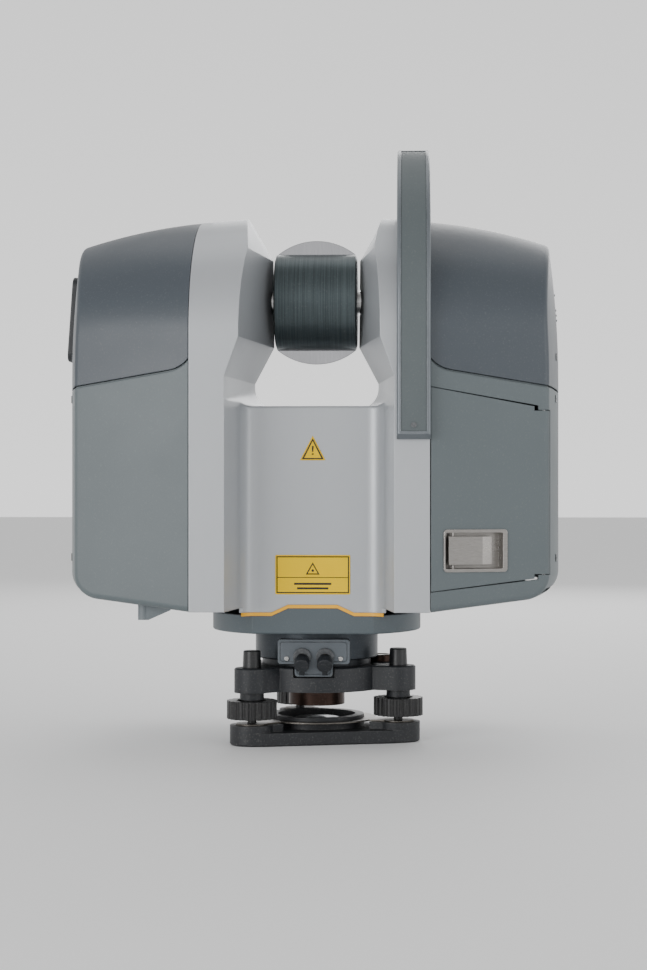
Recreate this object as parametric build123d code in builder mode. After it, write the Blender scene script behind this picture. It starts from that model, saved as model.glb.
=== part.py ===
"""Terrestrial laser scanner on a tribrach, as separate named pieces.

Units are millimetres, +Z is up, -Y is the front and +X is the right seen from the front.
The origin is on the vertical axis, on the underside of the tribrach, at its centre thread.
"""
import os
from math import atan2, cos, degrees, radians, sin, sqrt

from build123d import *

# ---- driving dimensions -------------------------------------------------------------------
# Head: a fork of two towers around the spinning drum, with a cover on each side
head_half_width = 167.5
head_half_depth = 112.0
head_bottom = 94.3
shoulder_height = 275.0  # where the upright front turns into the curved crown
yoke_half_width = 78.0  # seam between the silver fork and the dark covers
crown_inner = 87.6  # rise of the crown above the shoulder, at the fork's middle
crown_seam = 83.7
crown_middle = 77.0
crown_outer = 63.0
crown_middle_x = yoke_half_width + 0.5 * (head_half_width - yoke_half_width)
crown_outer_x = head_half_width + 4.5
cover_recession = 22.0  # how far the cover's front falls back from the seam to its corner
corner_x = head_half_width - 10.5
corner_y = head_half_depth - 28.0
bottom_rise = 10.4  # the covers' underside climbs this much towards the side
taper_start = 245.0  # above this height the covers lean inwards
lean_radius = 660.0
cover_wall = 3.0
casting_wall = 4.0
rim_radius = 4.0
lower_corner_radius = 16.0
seam_gap = 0.25  # half of the joint between the fork and a cover
groove = 0.75  # half of the groove between the upper and the lower cover

# Opening between the towers
drum_axis = 304.0
sill_height = 229.5
ridge_half_gap = 30.3
band_inner_x = 45.9
panel_band_x = 55.0
panel_depth = 60.0  # distance of the recessed centre panel from the vertical axis
panel_corner_radius = 12.0

# Drum
drum_half_length = 28.5
drum_radius = 33.3
dome_radius = 43.2
shaft_radius = 7.7
running_fit = 0.05  # radial clearance of shafts and bearings

# Skirt, post and adapter
skirt_radius = 72.5
skirt_bottom = 76.5
skirt_top = 91.0
skirt_wall = 4.0
post_radius = 42.7
post_bottom = 57.0
neck_radius = 30.0
bearing_outer = 40.0
hub_outer = 46.0

# Tribrach
tribrach_yaw = 14.4
screw_circle = 59.2
plate_bottom = 35.6
plate_top = 52.2
plate_core_radius = 46.0
lobe_radius = 12.0
knob_radius = 17.0
knob_bottom = 18.0
knob_top = 30.2
base_top = 13.7
bush_radius = 19.5
spigot_radius = 17.0
thread_minor_radius = 6.8  # 5/8 inch, 11 threads per inch
thread_length = 14.0
ball_radius = 5.0
neck_screw_radius = 3.0
screw_radius = 5.0
cap_radius = 6.3
cap_top = 64.0

# Handle
handle_x = 67.5
handle_width = 22.0
handle_top = 408.4
handle_front = head_half_depth + 7.5
handle_end = 206.0
handle_thickness = 14.0
inlay_width = 16.5
inlay_depth = 2.5

# Battery door and its latch
door_gap = 0.5
door_thickness = 4.0
bay_depth = 14.0  # front flange of the battery bay behind the cover's front
latch_x = 107.3
latch_z = 134.1
bezel_width = 43.0
bezel_height = 27.6
tray_width = 39.0
tray_height = 23.3
tray_depth = 9.0
paddle_width = 30.0
paddle_height = 18.5

# Display on the left side
bezel_z = 290.0
display_width = 76.0
display_height = 58.0

# ---- values worked out from the driving dimensions ----------------------------------------
front_slope = cover_recession / (corner_x - 2.0 - yoke_half_width)
front_angle = degrees(atan2(front_slope, 1.0))
side_sagitta = head_half_width - corner_x
side_radius = (corner_y**2 + side_sagitta**2) / (2.0 * side_sagitta)
bottom_slope = bottom_rise / (head_half_width - yoke_half_width)
handle_curve_z = shoulder_height + 13.0
limit_y = head_half_depth + 13.0
head_top = shoulder_height + crown_inner

# The door turns about the centre of the cover's rounded corner
line_offset = rim_radius * sqrt(1.0 + front_slope**2) - head_half_depth - front_slope * yoke_half_width
arc_centre_x = head_half_width - side_radius
quad_a = 1.0 + front_slope**2
quad_b = 2.0 * (front_slope * line_offset - arc_centre_x)
quad_c = arc_centre_x**2 + line_offset**2 - (side_radius - rim_radius) ** 2
hinge_x = (-quad_b + sqrt(quad_b**2 - 4.0 * quad_a * quad_c)) / (2.0 * quad_a)
hinge_y = front_slope * hinge_x + line_offset

tribrach_plane = Plane(origin=(0, 0, 0), x_dir=(cos(radians(tribrach_yaw)), sin(radians(tribrach_yaw)), 0))


def front_at(x):
    """Distance of the covers' front face from the middle plane, at a place across the head."""
    return head_half_depth - front_slope * (x - yoke_half_width)


def front_plane(x, z, depth=0.0):
    """A plane on the right cover's sloping front face, facing outwards."""
    out = Vector(sin(radians(front_angle)), -cos(radians(front_angle)), 0)
    along = Vector(cos(radians(front_angle)), sin(radians(front_angle)), 0)
    return Plane(origin=Vector(x, -front_at(x), z) - out * depth, x_dir=along, z_dir=out)


def rear_plane_left(x, z):
    """A plane on the left cover's sloping rear face, facing outwards."""
    out = Vector(-sin(radians(front_angle)), cos(radians(front_angle)), 0)
    along = Vector(-cos(radians(front_angle)), -sin(radians(front_angle)), 0)
    return Plane(origin=Vector(-x, front_at(x), z), x_dir=along, z_dir=out)


def screw_spot(angle):
    """Where a foot screw stands, from its angle in the tribrach's own frame."""
    turned = radians(angle + tribrach_yaw)
    return (screw_circle * cos(turned), screw_circle * sin(turned))


def tribrach_side(angle, radius, z):
    """A plane facing out of the tribrach at an angle in its own frame."""
    turned = radians(angle + tribrach_yaw)
    out = Vector(cos(turned), sin(turned), 0)
    return Plane(origin=out * radius + Vector(0, 0, z), x_dir=(-out.Y, out.X, 0), z_dir=out)


# ---- envelopes that several pieces share --------------------------------------------------
def side_section(height, shift, inset):
    """Plan section of everything inside the bulging side surface, leaning in by shift."""
    sag = side_radius - sqrt(side_radius**2 - limit_y**2)
    edge = head_half_width - inset - shift
    with BuildSketch(Plane.XY.offset(height)) as section:
        with BuildLine():
            side = ThreePointArc((edge - sag, -limit_y), (edge, 0), (edge - sag, limit_y))
            Polyline(side @ 1, (yoke_half_width - 18, limit_y), (yoke_half_width - 18, -limit_y), side @ 0)
        make_face()
    return section.sketch


def side_limit(inset):
    """Solid inside the right side surface: upright below, leaning inwards above."""
    span = 120.0
    steps = 3
    heights = [span * step / steps for step in range(steps + 1)]
    with BuildPart() as limit:
        extrude(side_section(head_bottom - 14, 0, inset), amount=taper_start - head_bottom + 14)
        loft([side_section(taper_start + h, h**2 / (2 * lean_radius), inset) for h in heights])
    return limit.part


def crown_section(x, half_depth, rise):
    """Half ellipse above the shoulder, standing across the head at x."""
    with BuildSketch(Plane.YZ.offset(x)) as section:
        with BuildLine():
            EllipticalCenterArc((0, shoulder_height), half_depth, rise, start_angle=0, arc_size=180)
            Line((-half_depth, shoulder_height), (half_depth, shoulder_height))
        make_face()
    return section.sketch


def cover_envelope(inset, rounded):
    """Outer shape of the right covers, or the same shape moved in by inset."""
    inner_y = front_at(yoke_half_width) - inset
    outer_y = front_at(crown_outer_x) - inset
    crown = (
        (yoke_half_width, crown_seam),
        (crown_middle_x, crown_middle),
        (crown_outer_x, crown_outer),
    )
    with BuildPart() as envelope:
        with BuildSketch(Plane.XY.offset(head_bottom - 5)):
            with BuildLine():
                Polyline(
                    (yoke_half_width, -inner_y),
                    (crown_outer_x, -outer_y),
                    (crown_outer_x, outer_y),
                    (yoke_half_width, inner_y),
                    close=True,
                )
            make_face()
        extrude(amount=shoulder_height - head_bottom + 5)
        loft([crown_section(x, front_at(x) - inset, rise - inset) for x, rise in crown])
        add(side_limit(inset), mode=Mode.INTERSECT)
        with BuildSketch(Plane.XZ):
            with BuildLine():
                low = head_bottom + inset - bottom_slope
                high = head_bottom + inset + bottom_slope * (crown_outer_x + 5 - yoke_half_width)
                Polyline(
                    (yoke_half_width - 1, low),
                    (crown_outer_x + 5, high),
                    (crown_outer_x + 5, handle_top),
                    (yoke_half_width - 1, handle_top),
                    close=True,
                )
            make_face()
        extrude(amount=2 * head_half_depth, both=True, mode=Mode.INTERSECT)
        if rounded:
            foot = envelope.edges().filter_by(lambda e: e.center().Z < head_bottom + 16)
            fillet(foot.filter_by(lambda e: e.center().X > corner_x).sort_by(SortBy.LENGTH)[-1], lower_corner_radius)
            caps = [f for f in envelope.faces() if f.center().X > yoke_half_width + 1]
            rim = [e for e in envelope.edges() if is_rim(e, caps)]
            fillet(rim, rim_radius)
    return envelope.part


def is_rim(edge, faces):
    """True for an edge where the front, rear, top or bottom meets the side at an angle."""
    middle = edge.position_at(0.5)
    touching = [f for f in faces if any(own.is_same(edge) for own in f.edges())]
    if len(touching) != 2:
        return False
    first, second = (f.normal_at(middle) for f in touching)
    return first.get_angle(second) > 25


def opening_section(plane, half_gap, waist, low_x, low_corner, top_x, sill):
    """Outline of the gap between the towers on one plane, from the sill to above the crown."""
    right = (
        (low_x, sill),
        (low_x, sill + 17.5),
        (waist, sill + 43),
        (half_gap, drum_axis + 29),
        (top_x, head_top + 12),
    )
    with BuildSketch(plane) as section:
        with BuildLine():
            Polyline(*right, *[(-x, z) for x, z in reversed(right)], close=True)
        make_face()
        fillet(section.vertices().group_by(Axis.Y)[0], low_corner)
    return section.sketch


def opening_cutter(grow):
    """The gap between the towers, flaring out to the front and the rear, enlarged by grow."""
    sill = sill_height - grow
    reach = 1.0
    front = (
        band_inner_x + grow,
        band_inner_x + grow,
        panel_band_x + grow,
        3.0,
        band_inner_x + 6 + grow,
        sill,
    )
    ridge = (
        ridge_half_gap + grow,
        ridge_half_gap - 0.6 + grow,
        ridge_half_gap + 12.9 + grow,
        14.5,
        ridge_half_gap + 24 + grow,
        sill,
    )
    with BuildPart() as cutter:
        for side in (-1, 1):
            outer = opening_section(Plane.XZ.offset(-side * (head_half_depth + reach)), *front)
            inner = opening_section(Plane.XZ, *ridge)
            loft([outer, inner], ruled=True)
    return cutter.part


def recess_cutter(grow):
    """The hollow below the sill, in front of the centre panel and behind the rear one."""
    edge = panel_band_x + grow
    foot = panel_band_x - 8 + grow
    depth = panel_depth - grow
    with BuildPart() as cutter:
        with BuildSketch(Plane.XY.offset(skirt_bottom - 1)) as plan:
            with BuildLine():
                outline = (
                    (-edge, -head_half_depth - 1),
                    (-foot, -depth),
                    (foot, -depth),
                    (edge, -head_half_depth - 1),
                )
                Polyline(*outline, close=True)
            make_face()
            fillet(plan.vertices().group_by(Axis.Y)[-1], panel_corner_radius)
            mirror(about=Plane.XZ)
        extrude(amount=sill_height + 18 - skirt_bottom)
    return cutter.part


def yoke_envelope(inset):
    """Side profile of the fork between the cover seams, moved in by inset."""
    half_depth = head_half_depth - inset
    crown = ((-yoke_half_width, crown_seam), (0, crown_inner), (yoke_half_width, crown_seam))
    with BuildPart() as envelope:
        with BuildSketch(Plane.XY.offset(head_bottom + inset)):
            Rectangle(2 * yoke_half_width, 2 * half_depth)
        extrude(amount=shoulder_height - head_bottom - inset)
        loft([crown_section(x, half_depth, rise - inset) for x, rise in crown])
    return envelope.part


seam_outer_slope = 0.1515


def seam_sheet(low, high):
    """Band across the right covers between two heights measured from their seam line."""
    with BuildPart() as sheet:
        with BuildSketch(Plane.XZ):
            with BuildLine():
                inner_x = yoke_half_width - 1
                bend_x = yoke_half_width + 13
                outer_x = head_half_width + 5
                bend_z = taper_start + 5.5
                side_z = bend_z - seam_outer_slope * (outer_x - bend_x)
                lower = (Line((outer_x, side_z + low), (bend_x, bend_z + low)))
                curve = TangentArc(lower @ 1, (inner_x, bend_z + 9 + low), tangent=lower % 1)
                upper_curve = TangentArc(
                    (bend_x, bend_z + high), (inner_x, bend_z + 9 + high), tangent=lower % 1
                )
                Line(curve @ 1, upper_curve @ 1)
                Line((bend_x, bend_z + high), (outer_x, side_z + high))
                Line((outer_x, side_z + high), (outer_x, side_z + low))
            make_face()
        extrude(amount=2 * head_half_depth, both=True)
    return sheet.part


cover_outside = cover_envelope(0.0, True)
cover_inside = cover_envelope(cover_wall, False)
tongue_outside = cover_envelope(cover_wall / 2, False)
drum_gap = opening_cutter(0.0)
panel_recess = recess_cutter(0.0)

os.makedirs("parts", exist_ok=True)


def save(builder, name):
    """Label a finished piece and write it as its own STEP file."""
    builder.part.label = name
    export_step(builder.part, f"parts/{name}.step")


# ---- tribrach, lower half -----------------------------------------------------------------
with BuildPart() as base_plate:
    with BuildSketch(tribrach_plane) as outline:
        with PolarLocations(screw_circle, 3, start_angle=90):
            Circle(15.0)
        with PolarLocations(screw_circle - 12, 3, start_angle=90):
            Rectangle(30, 34)
        Circle(38.0)
        make_hull()
    extrude(amount=9.0)
    chamfer(base_plate.faces().sort_by(Axis.Z)[0].edges(), 1.2)
    with BuildSketch(tribrach_plane.offset(9.0)):
        with PolarLocations(screw_circle, 3, start_angle=90):
            Circle(15.0)
            with Locations((-10, 0)):
                Rectangle(14, 26)
    extrude(amount=base_top - 9.0)
    with BuildSketch(tribrach_plane.offset(9.0)):
        Circle(33.0)
    extrude(amount=8.0)
    with BuildSketch(tribrach_plane.offset(9.0)):
        Circle(27.0)
    extrude(amount=8.0, mode=Mode.SUBTRACT)
    with BuildSketch(tribrach_plane):
        Circle(thread_minor_radius + 5.2)
    extrude(amount=9.0, mode=Mode.SUBTRACT)
    with BuildSketch(tribrach_plane.offset(base_top - 2 * ball_radius + 0.2)):
        with PolarLocations(screw_circle, 3, start_angle=90):
            Circle(ball_radius + 0.3)
    extrude(amount=2 * ball_radius, mode=Mode.SUBTRACT)
save(base_plate, "base_plate")

with BuildPart() as thread_bush:
    Cylinder(thread_minor_radius + 5.2, thread_length, align=(Align.CENTER, Align.CENTER, Align.MIN))
    with BuildSketch(Plane.XY.offset(9.0)):
        Circle(thread_minor_radius + 9.2)
    extrude(amount=thread_length - 9.0)
    Hole(thread_minor_radius)
save(thread_bush, "thread_bush")

spring_arm = screw_circle - 37.2
with BuildPart() as spring_plate:
    with BuildSketch(tribrach_plane.offset(base_top)):
        with PolarLocations(screw_circle, 3, start_angle=90):
            Circle(11.0)
            with Locations((-spring_arm / 2, 0)):
                Rectangle(spring_arm, 16)
        Circle(41.0)
        Circle(33.3, mode=Mode.SUBTRACT)
        with PolarLocations(screw_circle, 3, start_angle=90):
            Circle(neck_screw_radius + 0.5, mode=Mode.SUBTRACT)
    extrude(amount=1.0)
save(spring_plate, "spring_plate")

# ---- foot screws --------------------------------------------------------------------------
foot_screw_angles = {"left": 210, "right": 330, "rear": 90}
knob_ribs = 24
ball_middle = base_top - ball_radius + 0.5
for name, angle in foot_screw_angles.items():
    spot = screw_spot(angle)
    with BuildPart() as knob:
        with BuildSketch(Plane(origin=(*spot, knob_bottom))):
            Circle(knob_radius)
            with PolarLocations(knob_radius + 0.5, knob_ribs):
                Circle(1.4, mode=Mode.SUBTRACT)
            Circle(screw_radius, mode=Mode.SUBTRACT)
        extrude(amount=knob_top - knob_bottom)
        with BuildSketch(Plane(origin=(*spot, knob_top))):
            Circle(cap_radius + 4)
        extrude(amount=-3.2, mode=Mode.SUBTRACT)
    with BuildPart() as spindle:
        with BuildSketch(Plane(origin=(*spot, 0), x_dir=(1, 0, 0), z_dir=(0, -1, 0))):
            with BuildLine():
                ball = ThreePointArc(
                    (0, ball_middle - ball_radius),
                    (ball_radius, ball_middle),
                    (neck_screw_radius, ball_middle + sqrt(ball_radius**2 - neck_screw_radius**2)),
                )
                Polyline(
                    ball @ 1,
                    (neck_screw_radius, knob_bottom - 1),
                    (screw_radius, knob_bottom),
                    (screw_radius, cap_top - 6),
                    (0, cap_top - 6),
                    ball @ 0,
                )
            make_face()
        revolve(axis=Axis((*spot, 0), (0, 0, 1)))
    foot_screw = Compound(label=f"foot_screw_{name}", children=[knob.part, spindle.part])
    export_step(foot_screw, f"parts/foot_screw_{name}.step")

# ---- tribrach, upper half -----------------------------------------------------------------
panel_tab_x = 12.8  # half width of the connector panel's lower tab
panel_front = 47.0
panel_tab_bottom = plate_top - 5.4
screw_bore = screw_radius + 0.3
level_angle = 6
level_circle = plate_core_radius + 1.5
lock_pin_radius = 2.5
lock_z = (plate_bottom + plate_top) / 2
with BuildPart() as upper_plate:
    with BuildSketch(tribrach_plane.offset(plate_bottom)):
        Circle(plate_core_radius)
        with PolarLocations(screw_circle, 3, start_angle=90):
            Circle(lobe_radius)
        with PolarLocations(screw_circle / 2, 3, start_angle=90):
            Rectangle(screw_circle, 2 * lobe_radius)
        with PolarLocations(level_circle, 1, start_angle=level_angle):
            Circle(9.0)
        Circle(bush_radius, mode=Mode.SUBTRACT)
    extrude(amount=plate_top - plate_bottom)
    chamfer(upper_plate.faces().sort_by(Axis.Z)[-1].outer_wire().edges(), 0.8)
    with BuildSketch(tribrach_plane.offset(knob_top + 0.3)):
        with PolarLocations(screw_circle, 3, start_angle=90):
            Circle(cap_radius + 1.9)
    extrude(amount=plate_bottom - knob_top - 0.3)
    with BuildSketch(tribrach_plane.offset(knob_top)):
        with PolarLocations(screw_circle, 3, start_angle=90):
            Circle(screw_bore)
    extrude(amount=plate_top, mode=Mode.SUBTRACT)
    with BuildSketch(Plane.XY.offset(panel_tab_bottom - 1.2)):
        with Locations((0, -panel_front)):
            Rectangle(2 * panel_tab_x + 2.4, 17)
    extrude(amount=10, mode=Mode.SUBTRACT)
    with BuildSketch(tribrach_side(180, plate_core_radius - 9, lock_z)):
        Circle(lock_pin_radius + running_fit)
    extrude(amount=12, mode=Mode.SUBTRACT)
save(upper_plate, "upper_plate")

with BuildPart() as lock_knob:
    with BuildSketch(tribrach_side(180, plate_core_radius - 8.5, lock_z)):
        Circle(lock_pin_radius)
    extrude(amount=9)
    with BuildSketch(tribrach_side(180, plate_core_radius + 0.5, lock_z)):
        Circle(4.5)
        with PolarLocations(4.9, 10):
            Circle(0.8, mode=Mode.SUBTRACT)
    extrude(amount=9.5)
    with BuildSketch(tribrach_side(180, plate_core_radius + 6, lock_z)):
        SlotOverall(18, 3.4)
    extrude(amount=3)
save(lock_knob, "lock_knob")

with BuildPart() as screw_caps:
    with BuildSketch(tribrach_plane.offset(plate_top)):
        with PolarLocations(screw_circle, 3, start_angle=90):
            Circle(cap_radius)
    extrude(amount=cap_top - plate_top, taper=2)
    fillet(screw_caps.faces().filter_by(Axis.Z).group_by(Axis.Z)[-1].edges(), 1.0)
    with BuildSketch(tribrach_plane.offset(plate_top)):
        with PolarLocations(screw_circle, 3, start_angle=90):
            Circle(screw_bore)
    extrude(amount=cap_top - plate_top - 2.2, mode=Mode.SUBTRACT)
save(screw_caps, "screw_caps")

with BuildPart() as centre_bush:
    with BuildSketch(Plane.XY.offset(24)):
        Circle(bush_radius)
        Circle(spigot_radius + running_fit, mode=Mode.SUBTRACT)
    extrude(amount=plate_top - 24)
save(centre_bush, "centre_bush")

level_plane = tribrach_plane.offset(plate_top)
with BuildPart() as level_housing:
    with BuildSketch(level_plane):
        with PolarLocations(level_circle, 1, start_angle=level_angle):
            Circle(8.4)
    extrude(amount=4.8)
    fillet(level_housing.faces().sort_by(Axis.Z)[-1].edges(), 0.8)
    with BuildSketch(level_plane.offset(1.6)):
        with PolarLocations(level_circle, 1, start_angle=level_angle):
            Circle(6.0)
    extrude(amount=4, mode=Mode.SUBTRACT)
save(level_housing, "level_housing")

with BuildPart() as level_vial:
    with BuildSketch(level_plane.offset(1.6)):
        with PolarLocations(level_circle, 1, start_angle=level_angle):
            Circle(6.0)
    extrude(amount=2.8)
save(level_vial, "level_vial")

# ---- the scanner's fixed foot -------------------------------------------------------------
flange_radius = post_radius - 4.7
with BuildPart() as adapter_flange:
    with BuildSketch(Plane.XY.offset(plate_top - 25.2)):
        Circle(spigot_radius)
        Circle(spigot_radius - 5, mode=Mode.SUBTRACT)
    extrude(amount=25.2)
    with BuildSketch(Plane.XY.offset(plate_top)):
        Circle(flange_radius)
    extrude(amount=post_bottom - plate_top)
save(adapter_flange, "adapter_flange")

neck_top = skirt_top + 10
neck_wall = 6.0
post_floor = 5.0
post_shoulder = skirt_bottom - 0.5
with BuildPart() as base_post:
    with BuildSketch(Plane.XZ):
        with BuildLine():
            Polyline(
                (0, post_bottom),
                (post_radius - 0.8, post_bottom),
                (post_radius, post_bottom + 0.8),
                (post_radius, post_shoulder),
                (neck_radius, post_shoulder),
                (neck_radius, neck_top),
                (neck_radius - neck_wall, neck_top),
                (neck_radius - neck_wall, post_bottom + post_floor),
                (0, post_bottom + post_floor),
                close=True,
            )
        make_face()
    revolve(axis=Axis.Z)
save(base_post, "base_post")

panel_width = 48.6
panel_bottom = post_bottom - 1.7
panel_height = 16.6


def panel_outline(inset):
    """Front outline of the connector panel: a wide plate with a narrower tab below."""
    with BuildSketch(Plane.XZ.offset(panel_front)) as outline:
        with Locations((0, panel_bottom + panel_height / 2)):
            RectangleRounded(panel_width - 2 * inset, panel_height - 2 * inset, 2.0)
        with Locations((0, (panel_tab_bottom + panel_bottom) / 2 + 2)):
            RectangleRounded(2 * (panel_tab_x - inset), panel_bottom - panel_tab_bottom + 4 - 2 * inset, 2.0)
    return outline.sketch


socket_x = 7.75
socket_z = panel_bottom + 5.0
panel_screw_x = 18.3
with BuildPart() as connector_panel:
    with BuildSketch(Plane.XZ.offset(panel_front)):
        with Locations((0, panel_bottom + panel_height / 2)):
            RectangleRounded(panel_width, panel_height, 2.0)
    extrude(amount=-14)
    with BuildSketch(Plane.XZ.offset(panel_front)):
        add(panel_outline(0))
    extrude(amount=-3.5)
    with BuildSketch(Plane.XZ.offset(panel_front)):
        add(panel_outline(1.4))
        add(panel_outline(1.9), mode=Mode.SUBTRACT)
    extrude(amount=-0.5, mode=Mode.SUBTRACT)
    with BuildSketch(Plane.XY.offset(panel_tab_bottom - 1)):
        Circle(post_radius)
    extrude(amount=post_shoulder, mode=Mode.SUBTRACT)
    with BuildSketch(Plane.XZ.offset(panel_front)):
        with Locations((-socket_x, socket_z), (socket_x, socket_z)):
            Circle(5.0)
    extrude(amount=-3.4, mode=Mode.SUBTRACT)
    with BuildSketch(Plane.XZ.offset(panel_front)):
        with Locations((-panel_screw_x, socket_z - 1.3), (panel_screw_x, socket_z - 1.3)):
            Circle(1.2)
    extrude(amount=-3, mode=Mode.SUBTRACT)
save(connector_panel, "connector_panel")

with BuildPart() as panel_screws:
    with BuildSketch(Plane.XZ.offset(panel_front - 3)):
        with Locations((-panel_screw_x, socket_z - 1.3), (panel_screw_x, socket_z - 1.3)):
            Circle(1.2)
    extrude(amount=3)
    with BuildSketch(Plane.XZ.offset(panel_front)):
        with Locations((-panel_screw_x, socket_z - 1.3), (panel_screw_x, socket_z - 1.3)):
            Circle(1.7)
    extrude(amount=1.0)
    fillet(panel_screws.faces().filter_by(Axis.Y).group_by(Axis.Y)[0].edges(), 0.4)
save(panel_screws, "panel_screws")

socket_tilt = radians(32)
socket_out = Vector(0, -cos(socket_tilt), -sin(socket_tilt))
plug_radius = 4.4
with BuildPart() as data_sockets:
    with BuildSketch(Plane.XZ.offset(panel_front - 3.4)):
        with Locations((-socket_x, socket_z), (socket_x, socket_z)):
            Circle(5.0)
    extrude(amount=3.4)
    with BuildSketch(Plane.XZ.offset(panel_front)):
        with Locations((-socket_x, socket_z), (socket_x, socket_z)):
            Circle(6.0)
    extrude(amount=2.4)
    for x in (-socket_x, socket_x):
        neck = Vector(x, -panel_front, socket_z) + socket_out * 2.8
        with BuildSketch(Plane(origin=neck, x_dir=(1, 0, 0), z_dir=socket_out)):
            Circle(plug_radius)
        extrude(amount=6.2)
save(data_sockets, "data_sockets")

with BuildPart() as socket_caps:
    for x in (-socket_x, socket_x):
        start = Vector(x, -panel_front, socket_z) + socket_out * 5.6
        with BuildSketch(Plane(origin=start, x_dir=(1, 0, 0), z_dir=socket_out)):
            Circle(5.2)
        extrude(amount=5.4)
        with BuildSketch(Plane(origin=start + socket_out * 2, x_dir=(1, 0, 0), z_dir=socket_out)):
            with Locations((0, -6)):
                Rectangle(3.6, 5)
        extrude(amount=2)
    fillet(socket_caps.edges().filter_by(GeomType.CIRCLE).group_by(Axis.Y)[0], 0.8)
    for x in (-socket_x, socket_x):
        with BuildSketch(Plane(origin=(x, -panel_front, socket_z), x_dir=(1, 0, 0), z_dir=socket_out)):
            Circle(plug_radius)
        extrude(amount=9, mode=Mode.SUBTRACT)
save(socket_caps, "socket_caps")

# ---- azimuth drive ------------------------------------------------------------------------
bearing_low = skirt_bottom + 5.5
with BuildPart() as azimuth_bearing:
    with BuildSketch(Plane.XY.offset(bearing_low)):
        Circle(bearing_outer)
        Circle(neck_radius, mode=Mode.SUBTRACT)
    extrude(amount=10)
    with BuildSketch(Plane.XY.offset(bearing_low + 9)):
        Circle(bearing_outer - 3)
        Circle(neck_radius + 3, mode=Mode.SUBTRACT)
    extrude(amount=1, mode=Mode.SUBTRACT)
save(azimuth_bearing, "azimuth_bearing")

with BuildPart() as azimuth_motor:
    with BuildSketch(Plane.XY.offset(bearing_low + 11)):
        Circle(bearing_outer - 3)
        Circle(neck_radius, mode=Mode.SUBTRACT)
        with PolarLocations(bearing_outer - 3, 18):
            Rectangle(5, 2, mode=Mode.SUBTRACT)
    extrude(amount=6)
save(azimuth_motor, "azimuth_motor")

with BuildPart() as slip_ring:
    with BuildSketch(Plane.XY.offset(post_bottom + post_floor)):
        Circle(9)
    extrude(amount=50)
    for ring in range(5):
        with BuildSketch(Plane.XY.offset(neck_top - 14 + 4 * ring)):
            Circle(10)
            Circle(8, mode=Mode.SUBTRACT)
        extrude(amount=1.5, mode=Mode.SUBTRACT)
save(slip_ring, "slip_ring")

# ---- skirt under the head -----------------------------------------------------------------
tongue_half = 16.5
stripe_half = 49.0
slope_end = 27.7
stripe_low = skirt_top - 2.3
stripe_rise = 5.2


def stripe_line(base):
    """Front-view line of the accent stripe's edge: level, up a slope and over the tongue."""
    return (
        (-stripe_half - 30, base),
        (-slope_end, base),
        (-tongue_half, base + stripe_rise),
        (tongue_half, base + stripe_rise),
        (slope_end, base),
        (stripe_half + 30, base),
    )


def below_line(base):
    """Everything lower than the stripe's edge line at this base height."""
    line = stripe_line(base)
    with BuildPart() as region:
        with BuildSketch(Plane.XZ):
            with BuildLine():
                Polyline(*line, (line[-1][0], skirt_bottom - 10), (line[0][0], skirt_bottom - 10), close=True)
            make_face()
        extrude(amount=2 * head_half_depth, both=True)
    return region.part


with BuildPart() as skirt_ring:
    with BuildSketch(Plane.XY.offset(skirt_bottom)) as skirt_plan:
        Circle(skirt_radius)
        Rectangle(2 * skirt_radius + 2, 2 * panel_depth, mode=Mode.INTERSECT)
    extrude(amount=skirt_top + stripe_rise - skirt_bottom)
    skirt_foot = skirt_ring.faces().sort_by(Axis.Z)[0].edges()
    fillet(skirt_foot, 1.2)
    add(below_line(stripe_low), mode=Mode.INTERSECT)
    with BuildSketch(Plane.XY.offset(skirt_bottom + 3)):
        Circle(skirt_radius - skirt_wall)
        Rectangle(2 * skirt_radius, 2 * (panel_depth - skirt_wall), mode=Mode.INTERSECT)
    extrude(amount=50, mode=Mode.SUBTRACT)
    with BuildSketch(Plane.XY.offset(skirt_bottom)):
        Circle(neck_radius + 5)
    extrude(amount=5, mode=Mode.SUBTRACT)
save(skirt_ring, "skirt_ring")

# ---- fork ---------------------------------------------------------------------------------
stripe_top = skirt_top
with BuildPart() as accent_stripe:
    add(recess_cutter(skirt_wall))
    add(recess_cutter(-0.3), mode=Mode.SUBTRACT)
    with BuildSketch(Plane.XY.offset(skirt_bottom - 5)):
        Rectangle(2 * stripe_half - 3, 2 * (panel_depth + 9))
        Rectangle(2 * stripe_half, 2 * (panel_depth - skirt_wall), mode=Mode.SUBTRACT)
    extrude(amount=40, mode=Mode.INTERSECT)
    add(below_line(stripe_top), mode=Mode.INTERSECT)
    add(below_line(stripe_low), mode=Mode.SUBTRACT)
save(accent_stripe, "accent_stripe")

with BuildPart() as yoke_body:
    add(yoke_envelope(0.0))
    add(drum_gap, mode=Mode.SUBTRACT)
    with BuildSketch(Plane.XY.offset(skirt_top)):
        Rectangle(2 * stripe_half, 2 * panel_depth + 10)
    extrude(amount=head_bottom - skirt_top)
    add(panel_recess, mode=Mode.SUBTRACT)
    add(below_line(stripe_top), mode=Mode.SUBTRACT)
    sill_edges = yoke_body.edges().filter_by(Axis.X).filter_by_position(Axis.Z, sill_height - 0.1, sill_height + 0.1)
    fillet(sill_edges.filter_by(lambda e: e.length < 2 * panel_band_x), 2.0)

with BuildPart() as yoke_void:
    add(yoke_envelope(casting_wall))
    add(opening_cutter(casting_wall), mode=Mode.SUBTRACT)
    add(recess_cutter(casting_wall), mode=Mode.SUBTRACT)
    with BuildSketch(Plane.XY.offset(skirt_top - 2)):
        Circle(hub_outer)
    extrude(amount=head_bottom + casting_wall - skirt_top + 3)
    with BuildSketch(Plane.YZ.offset(-yoke_half_width)):
        with Locations((0, drum_axis)):
            Circle(shaft_radius + 1.3)
    extrude(amount=2 * yoke_half_width)

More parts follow.
